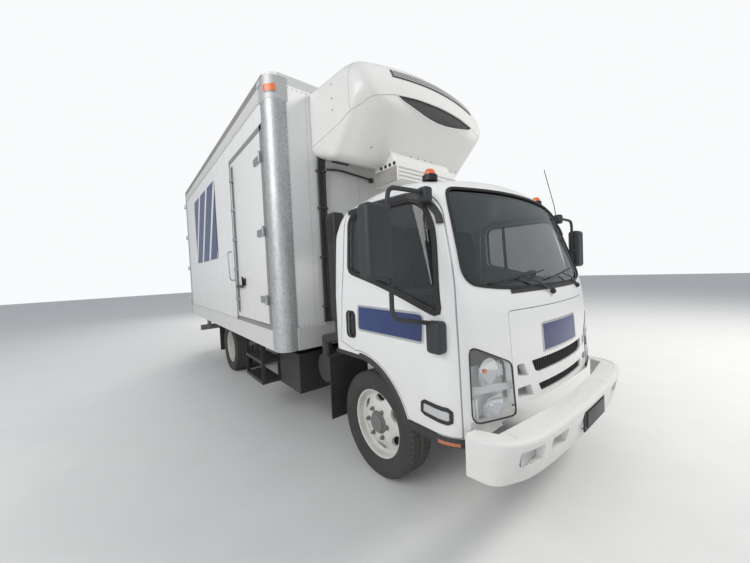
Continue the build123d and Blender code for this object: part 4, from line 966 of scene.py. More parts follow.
# Side turn lamp low on each door: a black bezel round a clear lens
turn = bend([(-0.795, 0.722), (-0.6, 0.735), (-0.605, 0.807), (-0.795, 0.797)], 0.012, closed=True)
bezel = cab_band(turn, on_side, rectangle(0.024, 0.016, 0.004))
turn_lens = cab_sheet([(-0.79, 0.73), (-0.605, 0.742)], [(-0.79, 0.79), (-0.61, 0.8)], on_side, -0.004, 0.006,
                      10, 4)
pair("side_lamp_bezel", bezel, "door", "black_plastic", TRIM)
pair("side_lamp", turn_lens, "door", "lens", RIBBED)

# Arch flare and black kick strip with an amber reflector
flare_line = arc(ARCH_R - 0.002, -1.28, 0.0, 40)
flare_profile = [(-0.034, -0.03), (0.008, -0.03), (0.012, 0.0), (0.006, 0.01), (-0.02, 0.012),
                 (-0.034, 0.004)]
flare = cab_band(flare_line, on_side, flare_profile, False)
kick = cab_band([(-0.86, 0.618), (-0.45, 0.618)], on_side, rectangle(0.05, 0.02, 0.006), False)
flap = soft_box((0.74, 0.02, 0.93), (1.04, 0.35, 0.966), 0.012)
part("cab_edge_trim", both(join(flare, kick, flap)), "cab", "black_plastic", BLACK, replaces=("cab_trim",))
mark = cab_band([(-0.84, 0.612), (-0.72, 0.612)], on_side, rectangle(0.022, 0.01, 0.003), False, inset=-0.008)
part("kick_reflectors", both(mark), "cab", "amber_lens", OLD_AMBER)

# Intake stack behind the cab's right rear corner
stack = soft_box((-0.985, 0.385, 1.17), (-0.865, 0.515, 2.12), 0.028)
slats = [block((-0.9905, -0.986), (0.4, 0.5), (z, z + 0.012)) for z in np.arange(1.86, 2.08, 0.026)]
part("intake_stack", join(stack, *slats), "cab", "black_plastic", TRIM)

# Headlamps: a silvery bowl with flutes, two reflectors with bulbs, a ribbed band and a clear cover
UPPER_LAMP, LOWER_LAMP = (0.79, 0.985), (0.765, 0.785)
BULB = [(0, 0), (0.012, 0.002), (0.015, 0.012), (0.011, 0.024), (0, 0.03)]


def lamp_cup(place, radius, squash, depth=0.05, wall=0.004):
    """A reflector: a parabola turned about the lamp's axis, wider than it is high."""
    r = np.linspace(0, 1, 12)
    bowl = -depth * (1 - r ** 2)
    inside, outside = np.stack([r * radius, bowl], -1), np.stack([r * radius, bowl - wall], -1)[::-1]
    points, quads, _ = lathe(np.concatenate([inside, outside]), (0, 0, 0), (0, -1, 0), 40)
    return shell(points * (1, 1, squash) + on_front([place], 0.02)[0], quads)


def lamp_bulb(place):
    """A bulb turned about the lamp's axis, standing out of its reflector."""
    return lathe(BULB, on_front([place], 0.055)[0], (0, -1, 0), 16)


bowl = cab_sheet([(0.613, 0.702), (0.934, 0.727)], [(0.621, 1.012), (0.924, 1.152)], on_front, 0.075, 0.004,
                 14, 20)
flutes = [front_strip(x, 0.012, 0.72, 0.845, 0.03, 0.04, 2, 4) for x in np.arange(0.872, 0.925, 0.024)]
flutes += [front_strip(x, 0.008, 0.935, 1.0 + 0.45 * (x - 0.64), 0.045, 0.025, 2, 4)
           for x in (0.645, 0.662, 0.679, 0.9)]
part("lamp_bowls", both(join(bowl, *flutes)), "cab", "lens", LAMP_SILVER)
cups = join(lamp_cup(UPPER_LAMP, 0.1, 0.8), lamp_cup(LOWER_LAMP, 0.105, 0.66), lamp_bulb(LOWER_LAMP))
part("lamp_reflectors", both(cups), "cab", "lens", CHROME)
part("lamp_bulbs", both(lamp_bulb(UPPER_LAMP)), "cab", "amber_lens", AMBER)
rib_band = cab_sheet([(0.618, 0.855), (0.93, 0.88)], [(0.619, 0.895), (0.93, 0.925)], on_front, 0.016, 0.012,
                     16, 3)
part("lamp_bands", both(rib_band), "cab", "lens", RIBBED)
cover = cab_sheet([(0.616, 0.704), (0.931, 0.729)], [(0.624, 1.013), (0.921, 1.15)], on_front, 0.001, 0.004,
                  14, 20)
part("lamp_covers", both(cover), "cab", "lens", CLEAR, replaces=("headlamps",))
surround = cab_band(LAMP, on_front, rectangle(0.008, 0.012, 0.003), inset=0.003)
part("lamp_surrounds", both(surround), "cab", "black_plastic", TRIM)

# Cowl under the windscreen, and wipers with their pivot caps
cowl = cab_band([(-0.55, 1.432), (0.55, 1.432)], on_front, rectangle(0.026, 0.012, 0.004), False)
part("cowl", cowl, "cab", "black_plastic", BLACK)


def wiper(x, z, tip_x, tip_z, blade):
    """An arm from its pivot over the glass, and a blade across the arm's end."""
    pivot = on_front([(x, z)], -0.012)[0]
    tip = on_front([(tip_x, tip_z)], -0.012)[0]
    middle = (pivot + tip) / 2 + (0, -0.02, 0.01)
    arm = sweep(evenly(bend([pivot, middle, tip], 0.12), 0.02), (0, -1, 0.3), rectangle(0.014, 0.007, 0.002))
    edge_line = [(tip_x - blade / 2, tip_z - 0.03), (tip_x + blade / 2, tip_z + 0.028)]
    path = on_front(evenly(edge_line, 0.03), -0.005)
    edge = sweep(path, slope(cab_form, path), rectangle(0.009, 0.02, 0.002))
    knob = [(0, -0.02), (0.018, -0.02), (0.022, 0.0), (0.014, 0.012), (0, 0.014)]
    return join(arm, edge, lathe(knob, pivot, (0, -1, 0.35), 20))


wipers = join(wiper(-0.08, 1.405, -0.42, 1.52, 0.6), wiper(0.52, 1.41, 0.2, 1.52, 0.55))
part("wipers", wipers, "cab", "black_plastic", TRIM)

# Lamps on the roof, and the aerial
DOME = [(0, 0), (0.037, 0.0), (0.039, 0.008), (0.034, 0.03), (0.024, 0.043), (0.0, 0.049)]
FOOT = [(0.0, -0.03), (0.05, -0.03), (0.05, 0.004), (0.043, 0.01), (0.0, 0.01)]
beacon_at = np.array([(0.79, -0.52, 2.2), (-0.79, -0.52, 2.2)])
domes = join(*[lathe(DOME, place + (0, 0, 0.002), (0, 0, 1), 28) for place in beacon_at])
part("beacon_domes", domes, "cab", "amber_lens", AMBER, replaces=("beacons",))
feet = join(*[lathe(FOOT, place, (0, 0, 1), 28) for place in beacon_at])
part("beacon_feet", feet, "cab", "black_plastic", TRIM)
rod = tube([(0.952, -0.64, 2.02), (0.95, -0.63, 2.14), (0.95, -0.54, 2.54)], 0.0035, 0.05, 8)
rod_foot = lathe([(0, 0), (0.016, 0), (0.013, 0.03), (0.005, 0.05), (0, 0.05)], (0.95, -0.645, 2.0),
                 (0.05, 0.1, 1), 16)
part("aerial", join(rod, rod_foot), "cab", "black_plastic", TRIM)

# Mirrors: a bent tube on two brackets, with clamps, the head and its glass
TUBE_X, TUBE_Y = 1.3, -0.66
mirror_line = [(1.045, -0.705, 1.285), (TUBE_X, TUBE_Y, 1.335), (TUBE_X, TUBE_Y, 2.03), (0.985, -0.64, 2.045)]
head = soft_box((1.315, -0.715, 1.55), (1.48, -0.615, 1.93), 0.03, 5)
clamps = [soft_box((1.282, -0.68, z), (1.325, -0.64, z + 0.035), 0.006) for z in (1.7, 1.79)]
bracket = soft_box((1.0, -0.785, 1.115), (1.08, -0.68, 1.3), 0.025, 4)
upper_foot = soft_box((0.955, -0.68, 1.985), (1.02, -0.605, 2.075), 0.018)
mirror = join(tube(mirror_line, 0.013, 0.06, 14), head, *clamps, bracket, upper_foot)
pair("mirror_arm", mirror, "door", "black_plastic", MIRROR_GREY, "mirror")
face = soft_box((1.348, -0.62, 1.583), (1.447, -0.6125, 1.897), 0.003)
pair("mirror_face", face, "door", "lens", CHROME)

# Blank signs on the doors and the lid, each with a thin metal edge
DOOR_SIGN = bend([(-0.625, 1.155), (0.025, 1.16), (0.015, 1.34), (-0.64, 1.33)], (0.01, 0.03, 0.01, 0.04),
                 closed=True)
door_sign = cab_sheet([(-0.622, 1.158), (0.022, 1.163)], [(-0.636, 1.327), (0.012, 1.337)], on_side, -0.0015,
                      0.001, 14, 4)
door_blue = sign_look("door_sign_blue", (-0.63, 0.03), (1.14, 1.34), "y")
pair("door_sign", door_sign, "door", "white_paint", door_blue)
door_edge = cab_band(DOOR_SIGN, on_side, rectangle(0.015, 0.008, 0.002))
pair("door_sign_edge", door_edge, "door", "aluminium", ALUMINIUM)
SIGN_HALF, SIGN_LOW, SIGN_TOP = 0.28, 1.025, 1.205
low_line = [(-SIGN_HALF, SIGN_LOW), (SIGN_HALF, SIGN_LOW)]
top_line = [(-SIGN_HALF, SIGN_TOP), (SIGN_HALF, SIGN_TOP)]
lid_sign = cab_sheet(low_line, top_line, on_front, -0.0015, 0.001, 14, 4)
lid_blue = sign_look("lid_sign_blue", (-0.24, 0.24), (1.02, 1.2), "x")
part("lid_sign", lid_sign, "cab", "white_paint", lid_blue)
lid_edge = cab_band(low_line + top_line[::-1], on_front, rectangle(0.013, 0.008, 0.002))
part("lid_sign_edge", lid_edge, "cab", "aluminium", ALUMINIUM)


# Bumper: a thin wall with a rounded top edge carried round both corners, with a tread plate inside it

BUMPER_FOOT, RAKE, RAKE_Z = 0.475, 0.24, 0.64
BUMPER_SIDE = [(1.018, -0.885), (1.0, -1.02), (0.94, -1.1), (0.8, -1.162), (0.55, -1.188), (0.3, -1.199)]
CORNER_RADII = (0, 0.06, 0.1, 0.12, 0.2, 0.2)
BUMPER_PLAN = bend(BUMPER_SIDE + [(0.0, -1.204)] + [(-x, y) for x, y in BUMPER_SIDE[::-1]],
                   CORNER_RADII + (0.3,) + CORNER_RADII[::-1], steps=9)
BUMPER_PATH = evenly(BUMPER_PLAN, 0.015)


def plan_lean(path):
    """Outward direction in plan: the path's own direction turned by a right angle."""
    ahead = unit(np.gradient(path, axis=0))
    return np.stack([-ahead[:, 1], ahead[:, 0], ahead[:, 0] * 0], -1)


def rake(s):
    """Draws the lower front of the bumper back, by more the lower it is, fading out round the corners."""
    points = s[0].copy()
    below, front = RAKE_Z - points[:, 2], (-points[:, 1] - 1.0) / 0.12
    points[:, 1] += RAKE * np.clip(below, 0, 1) * np.clip(front, 0, 1)
    return shell(points, s[1], s[2])


WALL_LINE = bend([(0.0, 0.0), (0.222, -0.001), (0.225, -0.04), (0.218, -0.04), (0.216, -0.008),
                  (0.0, -0.007)], (0.002, 0.022, 0.002, 0.002, 0.018, 0.002), closed=True, steps=7)
bumper_path = np.insert(BUMPER_PATH, 2, BUMPER_FOOT, 1)
bumper = raw("bumper_skin", rake(sweep(bumper_path, plan_lean(BUMPER_PATH), WALL_LINE)))


def front_opening(x, z):
    """Front-view outline of a rounded opening in the bumper, from its range in x and in z."""
    return bend([(x[0], z[0]), (x[1], z[0]), (x[1], z[1]), (x[0], z[1])], 0.02, closed=True)


def pocket(outline, front, back):
    """A recess: a thin funnel from an outline on the bumper's face to a smaller one behind."""
    middle = outline.mean(0)
    small, rim = middle + (outline - middle) * 0.8, middle + (outline - middle) * 1.02
    rows = [np.insert(outline, 1, front, 1), np.insert(small, 1, back, 1),
            np.insert(small, 1, back + 0.004, 1), np.insert(rim, 1, front + 0.004, 1)]
    return shell(np.concatenate(rows), grid(4, len(outline), ring=True, loop=True))


def bumper_face(outline):
    """Places in y of an outline's points just inside the bumper's skin, with its rake."""
    across, up = np.abs(outline[:, 0]), outline[:, 1]
    skin = np.interp(across, (0.44, 0.55, 0.7, 0.8, 0.88), (-1.189, -1.183, -1.166, -1.146, -1.114))
    return skin + RAKE * np.clip(RAKE_Z - up, 0, 1)


RECESSES = [front_opening(x, (0.56, 0.645))
            for x in ((-0.88, -0.7), (-0.625, -0.44), (0.44, 0.625), (0.7, 0.88))]
plate_gap = front_opening((-0.2, 0.2), (0.53, 0.655))
carve(bumper, *[prism(line, 1, -1.4, -1.02) for line in RECESSES + [plate_gap]])
dress(bumper, "chassis", "white_paint", WHITE_WORN, replaces=("front_bumper",))

TREAD_STEPS = [(-0.86, -1.09), (-0.62, -1.115), (-0.6, -1.15), (-0.36, -1.163), (-0.34, -1.13), (0.34, -1.13),
               (0.36, -1.163), (0.6, -1.15), (0.62, -1.115), (0.86, -1.09)]
TREAD_REAR = [(0.84, -1.03), (0.44, -1.068), (0.0, -1.078), (-0.44, -1.068), (-0.84, -1.03)]
TREAD_BACK = [(-0.93, -0.885), (-0.88, -1.0), (-0.44, -1.048), (0.0, -1.06), (0.44, -1.048), (0.88, -1.0),
              (0.93, -0.885)]
inner_plan = BUMPER_PATH - plan_lean(BUMPER_PATH)[:, :2] * 0.03
tread = prism(np.concatenate([inner_plan, TREAD_BACK]), 2, 0.688, 0.6965)
raised = prism(bend(TREAD_STEPS + TREAD_REAR, 0.008, closed=True), 2, 0.69, 0.6995)
part("bumper_tread", join(tread, raised), "chassis", "white_paint", WHITE_WORN, bevel=0.0015)
pockets = [pocket(line, bumper_face(line), -1.09) for line in RECESSES]
part("bumper_pockets", join(*pockets), "chassis", "white_paint", WHITE_WORN)
blanks = [soft_box((x - 0.082, -1.118, 0.566), (x + 0.082, -1.108, 0.64), 0.004) for x in (-0.79, 0.79)]
part("lamp_blanks", join(*blanks), "chassis", "lens", RIBBED)
plate = join(soft_box((-0.205, -1.196, 0.525), (0.205, -1.184, 0.66), 0.006),
             soft_box((-0.17, -1.203, 0.545), (0.17, -1.192, 0.645), 0.004))
part("plate_holder", plate, "chassis", "black_plastic", TRIM)


# Cooling unit on the box's nose

UNIT_TOP, UNIT_HALF, UNIT_BACK, UNIT_NOSE = 3.455, 0.87, 0.911, -0.03
RIGHT_WAY, NOSE_WAY = np.array((1.0, 0.0, 0.0)), np.array((0.0, -1.0, 0.0))


def unit_form(p):
    """Distances from a nose and a top bowed by x squared, flanks, slanting planes and a flat back.

    The planes are the chin under the nose, the jowl that cuts each lower front corner, and the belly that
    rises to the rear. All but the back are joined by round_max.
    """
    x, y, z = np.abs(p[..., 0]), p[..., 1], p[..., 2]
    nose = UNIT_NOSE + 0.134 * x ** 2 - y
    top = z - UNIT_TOP + 0.095 * x ** 2
    shoulder = 0.13 - 0.1 * np.clip((y - 0.3) / 0.6, 0, 1)
    body = round_max(round_max(nose, top, 0.318), x - UNIT_HALF, shoulder)
    chin = -0.744 * (y - 0.03) - 0.668 * (z - 2.942)
    jowl = 0.589 * (x - 0.87) - 0.57 * (y - 0.25) - 0.573 * (z - 2.93) + 0.007
    body = round_max(body, round_max(chin, jowl, 0.09), 0.03)
    belly = 2.2532 + 0.3616 * y - 0.932 * z
    return np.maximum(round_max(body, belly, 0.078), y - UNIT_BACK)


def seam_height(y):
    """Height of the seam on the unit's side: level at the front and dropping to the rear."""
    return np.interp(y, (0.12, 0.205, 0.387, 0.647, 0.92), (2.985, 2.952, 2.894, 2.875, 2.852))


def places(x, y, z):
    """Points from three coordinates, each a number or an array."""
    return np.stack(np.broadcast_arrays(x, y, z), -1).astype(float)


def on_unit(start, way, inset=0.0):
    """Where rays from inside the cooling unit reach its skin."""
    return meet(unit_form, start, way, 1.6, inset)


def on_unit_nose(outline, inset=0.0):
    """Points of a front-view outline (x, z), set on the unit's nose."""
    return meet(unit_form, np.insert(outline, 1, 0.5, 1), NOSE_WAY, 0.8, inset)


def unit_band(path, profile, closed=False):
    """A profile carried along a path on the unit's skin, upright to the skin all along."""
    return sweep(path, slope(unit_form, path), profile, closed)


unit_skin = raw("unit_skin", cast(unit_form, (-0.62, 0.45, 2.92), (0.62, 0.72, 3.2), (44, 14, 14), fan=16))

# Grooves: one seam round the unit, and an upright one on each side
seam_y = np.linspace(0.905, 0.12, 40)
flank = on_unit(places(0.2, seam_y, seam_height(seam_y)), RIGHT_WAY)
corner_turn = np.linspace(0, pi / 2, 30)[1:]
corner_way = places(np.cos(corner_turn), -np.sin(corner_turn), 0)
corner_run = on_unit(places(0.45, 0.4, np.interp(corner_turn, (0.59, 1.3), (2.985, 3.055))), corner_way)
half_seam = np.concatenate([flank, corner_run[corner_run[:, 1] < 0.118]])
whole_seam = evenly(np.concatenate([half_seam, half_seam[::-1] * (-1, 1, 1)]), 0.02)
carve(unit_skin, unit_band(whole_seam, rectangle(0.008, 0.012)))
upright = on_unit(places(0.3, 0.24, np.linspace(2.945, 3.35, 22)), RIGHT_WAY)
for line in (upright, upright[::-1] * (-1, 1, 1)):
    carve(unit_skin, unit_band(line, rectangle(0.006, 0.012)))

BOLT_WAYS = np.array([(1.0, 0.0, 0.06), (1.0, 0.0, -0.06), (1.0, 0.0, 0.2), (0.62, -0.4, -0.7),
                      (0.3, -0.5, -0.8), (0.1, -0.5, -0.8), (0.85, -0.3, -0.55), (0.45, -0.45, -0.8)])
bolt_at = on_unit(np.array((0.0, 0.5, 3.1)), unit(BOLT_WAYS))
bolts = both(rivets(bolt_at, slope(unit_form, bolt_at), 0.009, 0.004))
part("unit_fasteners", bolts, "chassis", "grey_metal", DULL_METAL)
rib_turn = np.linspace(0.35, 1.25, 9)
rib_way = places(np.cos(rib_turn), 0, -np.sin(rib_turn))
ribs_low = [unit_band(on_unit(np.array((0.7, y, 2.9)), rib_way, -0.001), rectangle(0.012, 0.008, 0.002))
            for y in (0.84, 0.78, 0.72, 0.66)]
part("unit_ribs", both(join(*ribs_low)), "chassis", "white_paint", UNIT_WHITE)

# The intake's mouth: straight along its top, curved below, with a wire mesh close behind its edge
low_x = np.linspace(-0.47, 0.47, 9)
mouth_low = np.stack([low_x, 3.03 - 0.071 * (1 - (low_x / 0.53) ** 2)], -1)
mouth_top = [(0.55, 3.062), (0.3, 3.085), (0.0, 3.092), (-0.3, 3.085), (-0.55, 3.062)]
mouth = bend(np.concatenate([mouth_top, mouth_low]), 0.02, closed=True)
carve(unit_skin, prism(mouth, 1, -0.2, 0.07))
dress(unit_skin, "chassis", "white_paint", UNIT_WHITE, replaces=("reefer_shell", "reefer_belly"))
MESH_ROWS, MESH_COLUMNS = 10, 40
mesh_x, mesh_z = np.linspace(-0.57, 0.57, MESH_COLUMNS), np.linspace(2.9, 3.15, MESH_ROWS)
mesh_at = np.stack(np.meshgrid(mesh_x, mesh_z), -1).reshape(-1, 2)
mesh_quads = grid(MESH_ROWS, MESH_COLUMNS)
intake = shell(np.concatenate([on_unit_nose(mesh_at, 0.012), on_unit_nose(mesh_at, 0.022)]),
               np.concatenate([mesh_quads, mesh_quads[:, ::-1] + len(mesh_at)]))
part("intake_mesh", intake, "chassis", "black_plastic", MESH, replaces=("reefer_grille",))
mouth_rim = unit_band(on_unit_nose(evenly(mouth, 0.02, True)), rectangle(0.012, 0.01, 0.003), True)
part("intake_rim", mouth_rim, "chassis", "white_paint", UNIT_WHITE)

# Louvre over the mouth
LOUVRE_Z = 3.105


def top_strip(height, half, width, rise):
    """A bar across the unit's upper front, lying on its skin."""
    x = np.linspace(-half, half, 40)
    path = on_unit(places(x, 0.35, height), unit(places(x * 0, -0.9, 0.42)), -rise)
    return unit_band(path, rectangle(width, 0.01, 0.002))


# The bed under the bars takes the mesh finish, with its gaps coloured near black as painted shade.
part("top_louvre_bed", top_strip(LOUVRE_Z, 0.56, 0.085, 0.0), "chassis", "black_plastic", MESH)
louvre_bars = [top_strip(LOUVRE_Z + lift, 0.55, 0.005, 0.006) for lift in (-0.034, -0.012, 0.012, 0.034)]
part("top_louvre_bars", join(*louvre_bars), "chassis", "white_paint", UNIT_WHITE)

# Outlet box under the unit, with finned ends and a row of holes over them
OUTLET_HALF = 0.43
outlet = soft_box((-OUTLET_HALF, 0.15, 2.405), (OUTLET_HALF, 0.47, 2.6), 0.01)
neck = prism([(0.2, 2.59), (0.46, 2.59), (0.46, 2.66), (0.36, 2.66), (0.26, 2.72)], 0, -0.42, 0.42)
ribs = [soft_box((-0.42, 0.138, z), (0.42, 0.16, z + 0.02), 0.005) for z in np.arange(2.42, 2.56, 0.036)]
part("outlet_box", join(outlet, neck, *ribs), "chassis", "white_paint", UNIT_WHITE)
end_fins = soft_box((0.425, 0.165, 2.41), (0.436, 0.455, 2.545), 0.003)
part("outlet_fins", both(end_fins), "chassis", "aluminium", FINS)
HOLE = [(0, 0), (0.016, 0), (0.016, 0.006), (0, 0.006)]
holes = [lathe(HOLE, (OUTLET_HALF, y, 2.57), (1, 0, 0), 20) for y in (0.19, 0.25, 0.31, 0.37)]
part("outlet_holes", both(join(*holes)), "chassis", "black_plastic", TRIM)

# Two hoses down the box's nose, at the CAD's places, with a thin cable between them, and their clips
HOSE_Y = 0.887
hoses = [tube([(x, 0.862, 2.8), (x, 0.885, 2.68), (x, HOSE_Y, 2.3), (x, HOSE_Y, 1.1)], r, 0.08)
         for x, r in ((-0.76, 0.015), (-0.82, 0.015), (-0.79, 0.009))]
part("hose_run", join(*hoses), "chassis", "rubber", HOSE, replaces=("reefer_hoses",))
clips = [soft_box((-0.845, 0.872, z), (-0.735, UNIT_BACK, z + 0.02), 0.004) for z in (1.25, 1.75, 2.25, 2.62)]
clips += [soft_box((-0.7, 0.8, 2.715), (-0.5, 0.83, 2.745), 0.006),
          tube([(-0.72, 0.89, 2.66), (-0.56, 0.895, 2.68), (-0.14, 0.885, 2.64)], 0.011, 0.05),
          soft_box((-0.17, 0.87, 2.61), (-0.12, 0.905, 2.66), 0.006)]
part("hose_clips", join(*clips), "chassis", "black_metal", CHASSIS)


# Box: rounded corner posts with rivets, caps and lamps, signs, and the side door's fittings

def row(axis, span, step, at):
    """Places an even step apart along an axis, with the two other coordinates the same at each."""
    run = np.arange(*span, step)
    return np.insert(np.full((len(run), 2), at), axis, run, 1)


def corner_arc(middle, radius, turn):
    """A curve round the box's front corner in plan, its angle counted from the nose towards the side."""
    return np.array(middle) + np.stack([np.sin(turn), -np.cos(turn)], -1) * radius


POST_MIDDLE, CAP_MIDDLE = (1.178, 1.032), (1.176, 1.034)
post_turn = np.linspace(0, pi / 2, 14)
post_arc = corner_arc(POST_MIDDLE, (0.1225, 0.123), post_turn)
inner_arc = corner_arc(POST_MIDDLE, 0.113, post_turn[::-1])
post_plan = np.concatenate([[(1.118, 0.909)], post_arc, [(1.3005, 1.09), (1.291, 1.09)], inner_arc,
                            [(1.118, 0.919)]])
part("corner_posts", both(prism(post_plan, 2, 0.858, 3.25)), "chassis", "aluminium", POST_SHEET)
post_front = rivets(row(2, (1.1, 3.24), 0.045, (1.136, 0.909)), (0, -1, 0))
post_side = rivets(np.concatenate([row(2, (1.1, 3.24), 0.045, (1.3003, 1.058)),
                                   row(2, (1.12, 3.24), 0.045, (1.3003, 1.08))]), (1, 0, 0))
rail_rows = [row(1, (1.15, 5.8), 0.06, (BOX_SIDE + 0.0005, z)) for z in (1.062, 3.285)]
rail_rivets = rivets(np.concatenate(rail_rows), (1, 0, 0))
nose_rows = [row(0, (-1.1, 1.11), 0.05, (BOX_NOSE - 0.0005, z)) for z in (1.09, 3.37)]
nose_rivets = rivets(np.concatenate(nose_rows), (0, -1, 0))
box_rivets = join(both(join(post_front, post_side, rail_rivets)), nose_rivets)
part("box_rivets", box_rivets, "chassis", "aluminium", RIVET_METAL_PAINTED_SHADE)
cap_plan = np.concatenate([[(1.1, 0.906)], corner_arc(CAP_MIDDLE, 0.128, post_turn),
                           [(1.304, 1.12), (1.2, 1.12), (1.1, 1.0)]])
part("corner_caps", both(prism(cap_plan, 2, 3.235, 3.454)), "chassis", "aluminium", CAP_METAL, bevel=0.006)
nose_rail = block((-1.12, 1.12), (0.902, BOX_NOSE - 0.0005), (0.86, 1.075))
part("nose_rail", nose_rail, "chassis", "aluminium", RAIL)

MARKER_LOW, MARKER_TOP, MARKER_EDGE = 3.303, 3.362, 0.008


def marker(outer, low, high):
    """A lamp bent round the corner: a slice of a ring between two heights."""
    turn = np.linspace(radians(20), radians(70), 10)
    plan = np.concatenate([corner_arc(CAP_MIDDLE, outer, turn), corner_arc(CAP_MIDDLE, 0.12, turn[::-1])])
    return prism(plan, 2, low, high)


lamp_seats = join(marker(0.1345, MARKER_LOW - MARKER_EDGE, MARKER_LOW),
                  marker(0.1345, MARKER_TOP, MARKER_TOP + MARKER_EDGE))
part("marker_seats", both(lamp_seats), "chassis", "aluminium", GALVANISED)
part("marker_lamps", both(marker(0.137, MARKER_LOW, MARKER_TOP)), "chassis", "amber_lens", AMBER)

# Large plain panel on each side, in blues with slanting pale bars
SIGN_Y, SIGN_Z = (3.2, 4.9), (1.9, 3.06)
panel = block((BOX_SIDE - 0.0005, BOX_SIDE + 0.0015), SIGN_Y, SIGN_Z)
side_blue = sign_look("side_sign_blue", SIGN_Y, SIGN_Z, "y", bars=True)
part("side_sign", both(panel), "chassis", "panel_white", side_blue)

# Side door: its frame, leaf, hinges, lock bar with guides, lock, and the grab rail beside it
HINGE_Z = (1.358, 2.03, 2.746)
GUIDE_Z = (1.33, 1.7, 2.06, 2.42, 2.78)
FRAME_Y, FRAME_Z = (1.1, 2.31), (1.06, 3.06)
trim = join(block((-1.3025, -1.29), (1.1, 1.158), FRAME_Z), block((-1.302, -1.29), (2.26, 2.31), FRAME_Z),
            block((-1.3025, -1.29), FRAME_Y, (3.0, 3.06)), block((-1.302, -1.29), FRAME_Y, (1.06, 1.1)))
part("door_frame_trim", trim, "chassis", "aluminium", FRAME_METAL, bevel=0.003)
leaf = join(block((-1.294, -1.214), (1.15, 2.255), (1.11, 3.01)),
            soft_box((-1.3, 1.155, 1.115), (-1.289, 2.25, 3.005), 0.004))
part("side_door_leaf", leaf, "side_door", "panel_white", DOOR_PANEL, replaces=("side_door",))
fittings = [soft_box((-1.318, 1.118, z - 0.035), (-1.299, 1.34, z + 0.035), 0.006) for z in HINGE_Z]
fittings += [tube([(-1.327, 1.122, z - 0.05), (-1.327, 1.122, z + 0.05)], 0.013) for z in HINGE_Z]
fittings += [tube([(-1.318, 2.17, 1.18), (-1.318, 2.17, 2.94)], 0.011),
             block((-1.3035, -1.299), (2.14, 2.2), (1.16, 2.96))]
fittings += [soft_box((-1.334, 2.13, z - 0.02), (-1.296, 2.21, z + 0.02), 0.005) for z in GUIDE_Z]
part("side_door_fittings", join(*fittings), "side_door", "aluminium", GALVANISED)
lock = join(soft_box((-1.316, 1.86, 1.5), (-1.298, 1.95, 1.58), 0.005),
            tube([(-1.325, 1.9, 1.49), (-1.33, 1.9, 1.6)], 0.011),
            soft_box((-1.338, 1.885, 1.47), (-1.322, 2.15, 1.5), 0.006))
part("side_door_lock", lock, "side_door", "black_metal", TRIM)
grab_line = [(-1.297, 2.415, 1.93), (-1.35, 2.415, 1.93), (-1.35, 2.36, 1.56), (-1.297, 2.36, 1.56)]
part("grab_rail", tube(grab_line, 0.008, 0.04, 10), "chassis", "aluminium", GALVANISED)

# Rear doors: two lock bars on each with their guides and a handle, over the leaves that stay as they are
BAR_Y = 5.941
rear_bars = [soft_box((0.14, 5.953, 1.5), (0.42, 5.966, 1.535), 0.006)]
for x in (0.15, 0.62):
    rear_bars.append(tube([(x, BAR_Y, 1.05), (x, BAR_Y, 3.33)], 0.0145))
    rear_bars += [soft_box((x - 0.04, 5.917, z - 0.022), (x + 0.04, 5.955, z + 0.022), 0.006)
                  for z in (1.1, 1.7, 2.3, 2.9, 3.28)]
pair("rear_bars", join(*rear_bars), "rear_door", "aluminium", GALVANISED)


# Wheels

BOLT_CIRCLE, BOLTS = 0.111, 6
TREAD_DEPTH = 0.009


def tyre(x, half, centre_y):
    """A tyre section turned about its axle, with tread blocks cut between four grooves."""
    across = np.linspace(-1, 1, 41)
    shoulder = 0.02 * np.maximum(np.abs(across) - 0.72, 0) ** 2 / 0.0784 * 1.2
    wall = np.array([(1.0, 0.37), (1.02, 0.345), (1.0, 0.31), (0.9, 0.275), (0.82, 0.262)])
    along = np.concatenate([across, wall[:, 0], -wall[::-1, 0]]) * half * 0.98
    radius = np.concatenate([TYRE_R - 0.0005 - shoulder, wall[:, 1], wall[::-1, 1]])
    steps = 180
    a = np.arange(steps) * 2 * pi / steps
    off = np.abs(along)
    groove = (np.abs(off - half * 0.22) < half * 0.045) | (np.abs(off - half * 0.62) < half * 0.045)
    sipe = (np.arange(steps)[:, None] % 3 == 0) & (off > half * 0.28) & (off < half * 0.9)
    r = radius - np.where((groove | sipe) & (radius > TREAD_R), TREAD_DEPTH, 0.0)
    rows = places(x + along, centre_y + r * np.sin(a)[:, None], TYRE_R + r * np.cos(a)[:, None])
    return shell(rows, grid(steps, len(along), ring=True, loop=True))


def wheel_bolts(x, y, radius=0.017, length=0.034):
    """Six-sided nuts on a circle, each with its stud's end."""
    a = (np.arange(BOLTS) + 0.5) * 2 * pi / BOLTS
    centres = places(x, y + BOLT_CIRCLE * np.sin(a), TYRE_R + BOLT_CIRCLE * np.cos(a))
    nut = np.array([(0, 0), (1, 0), (1, 0.55), (0.8, 0.65), (0.5, 0.66), (0.46, 1), (0, 1)])
    return join(*[lathe(nut * (radius, length), centre, (1, 0, 0), 6) for centre in centres])


def hand_holes(x_low, x_high, y, count=6):
    """Oval openings round the wheel's disc, as cutters."""
    t = np.linspace(0, 2 * pi, 22, endpoint=False)
    out, along = 0.191 + 0.025 * np.cos(t), 0.052 * np.sin(t)
    holes = []
    for a in np.arange(count) * 2 * pi / count:
        outline = np.stack([y + out * np.sin(a) + along * np.cos(a),
                            TYRE_R + out * np.cos(a) - along * np.sin(a)], -1)
        holes.append(prism(outline, 0, x_low, x_high))
    return join(*holes)


def turned(profile, y, steps=40):
    """A profile of (radius, x) points turned about the axle at y."""
    return lathe(profile, (0, y, TYRE_R), (1, 0, 0), steps)


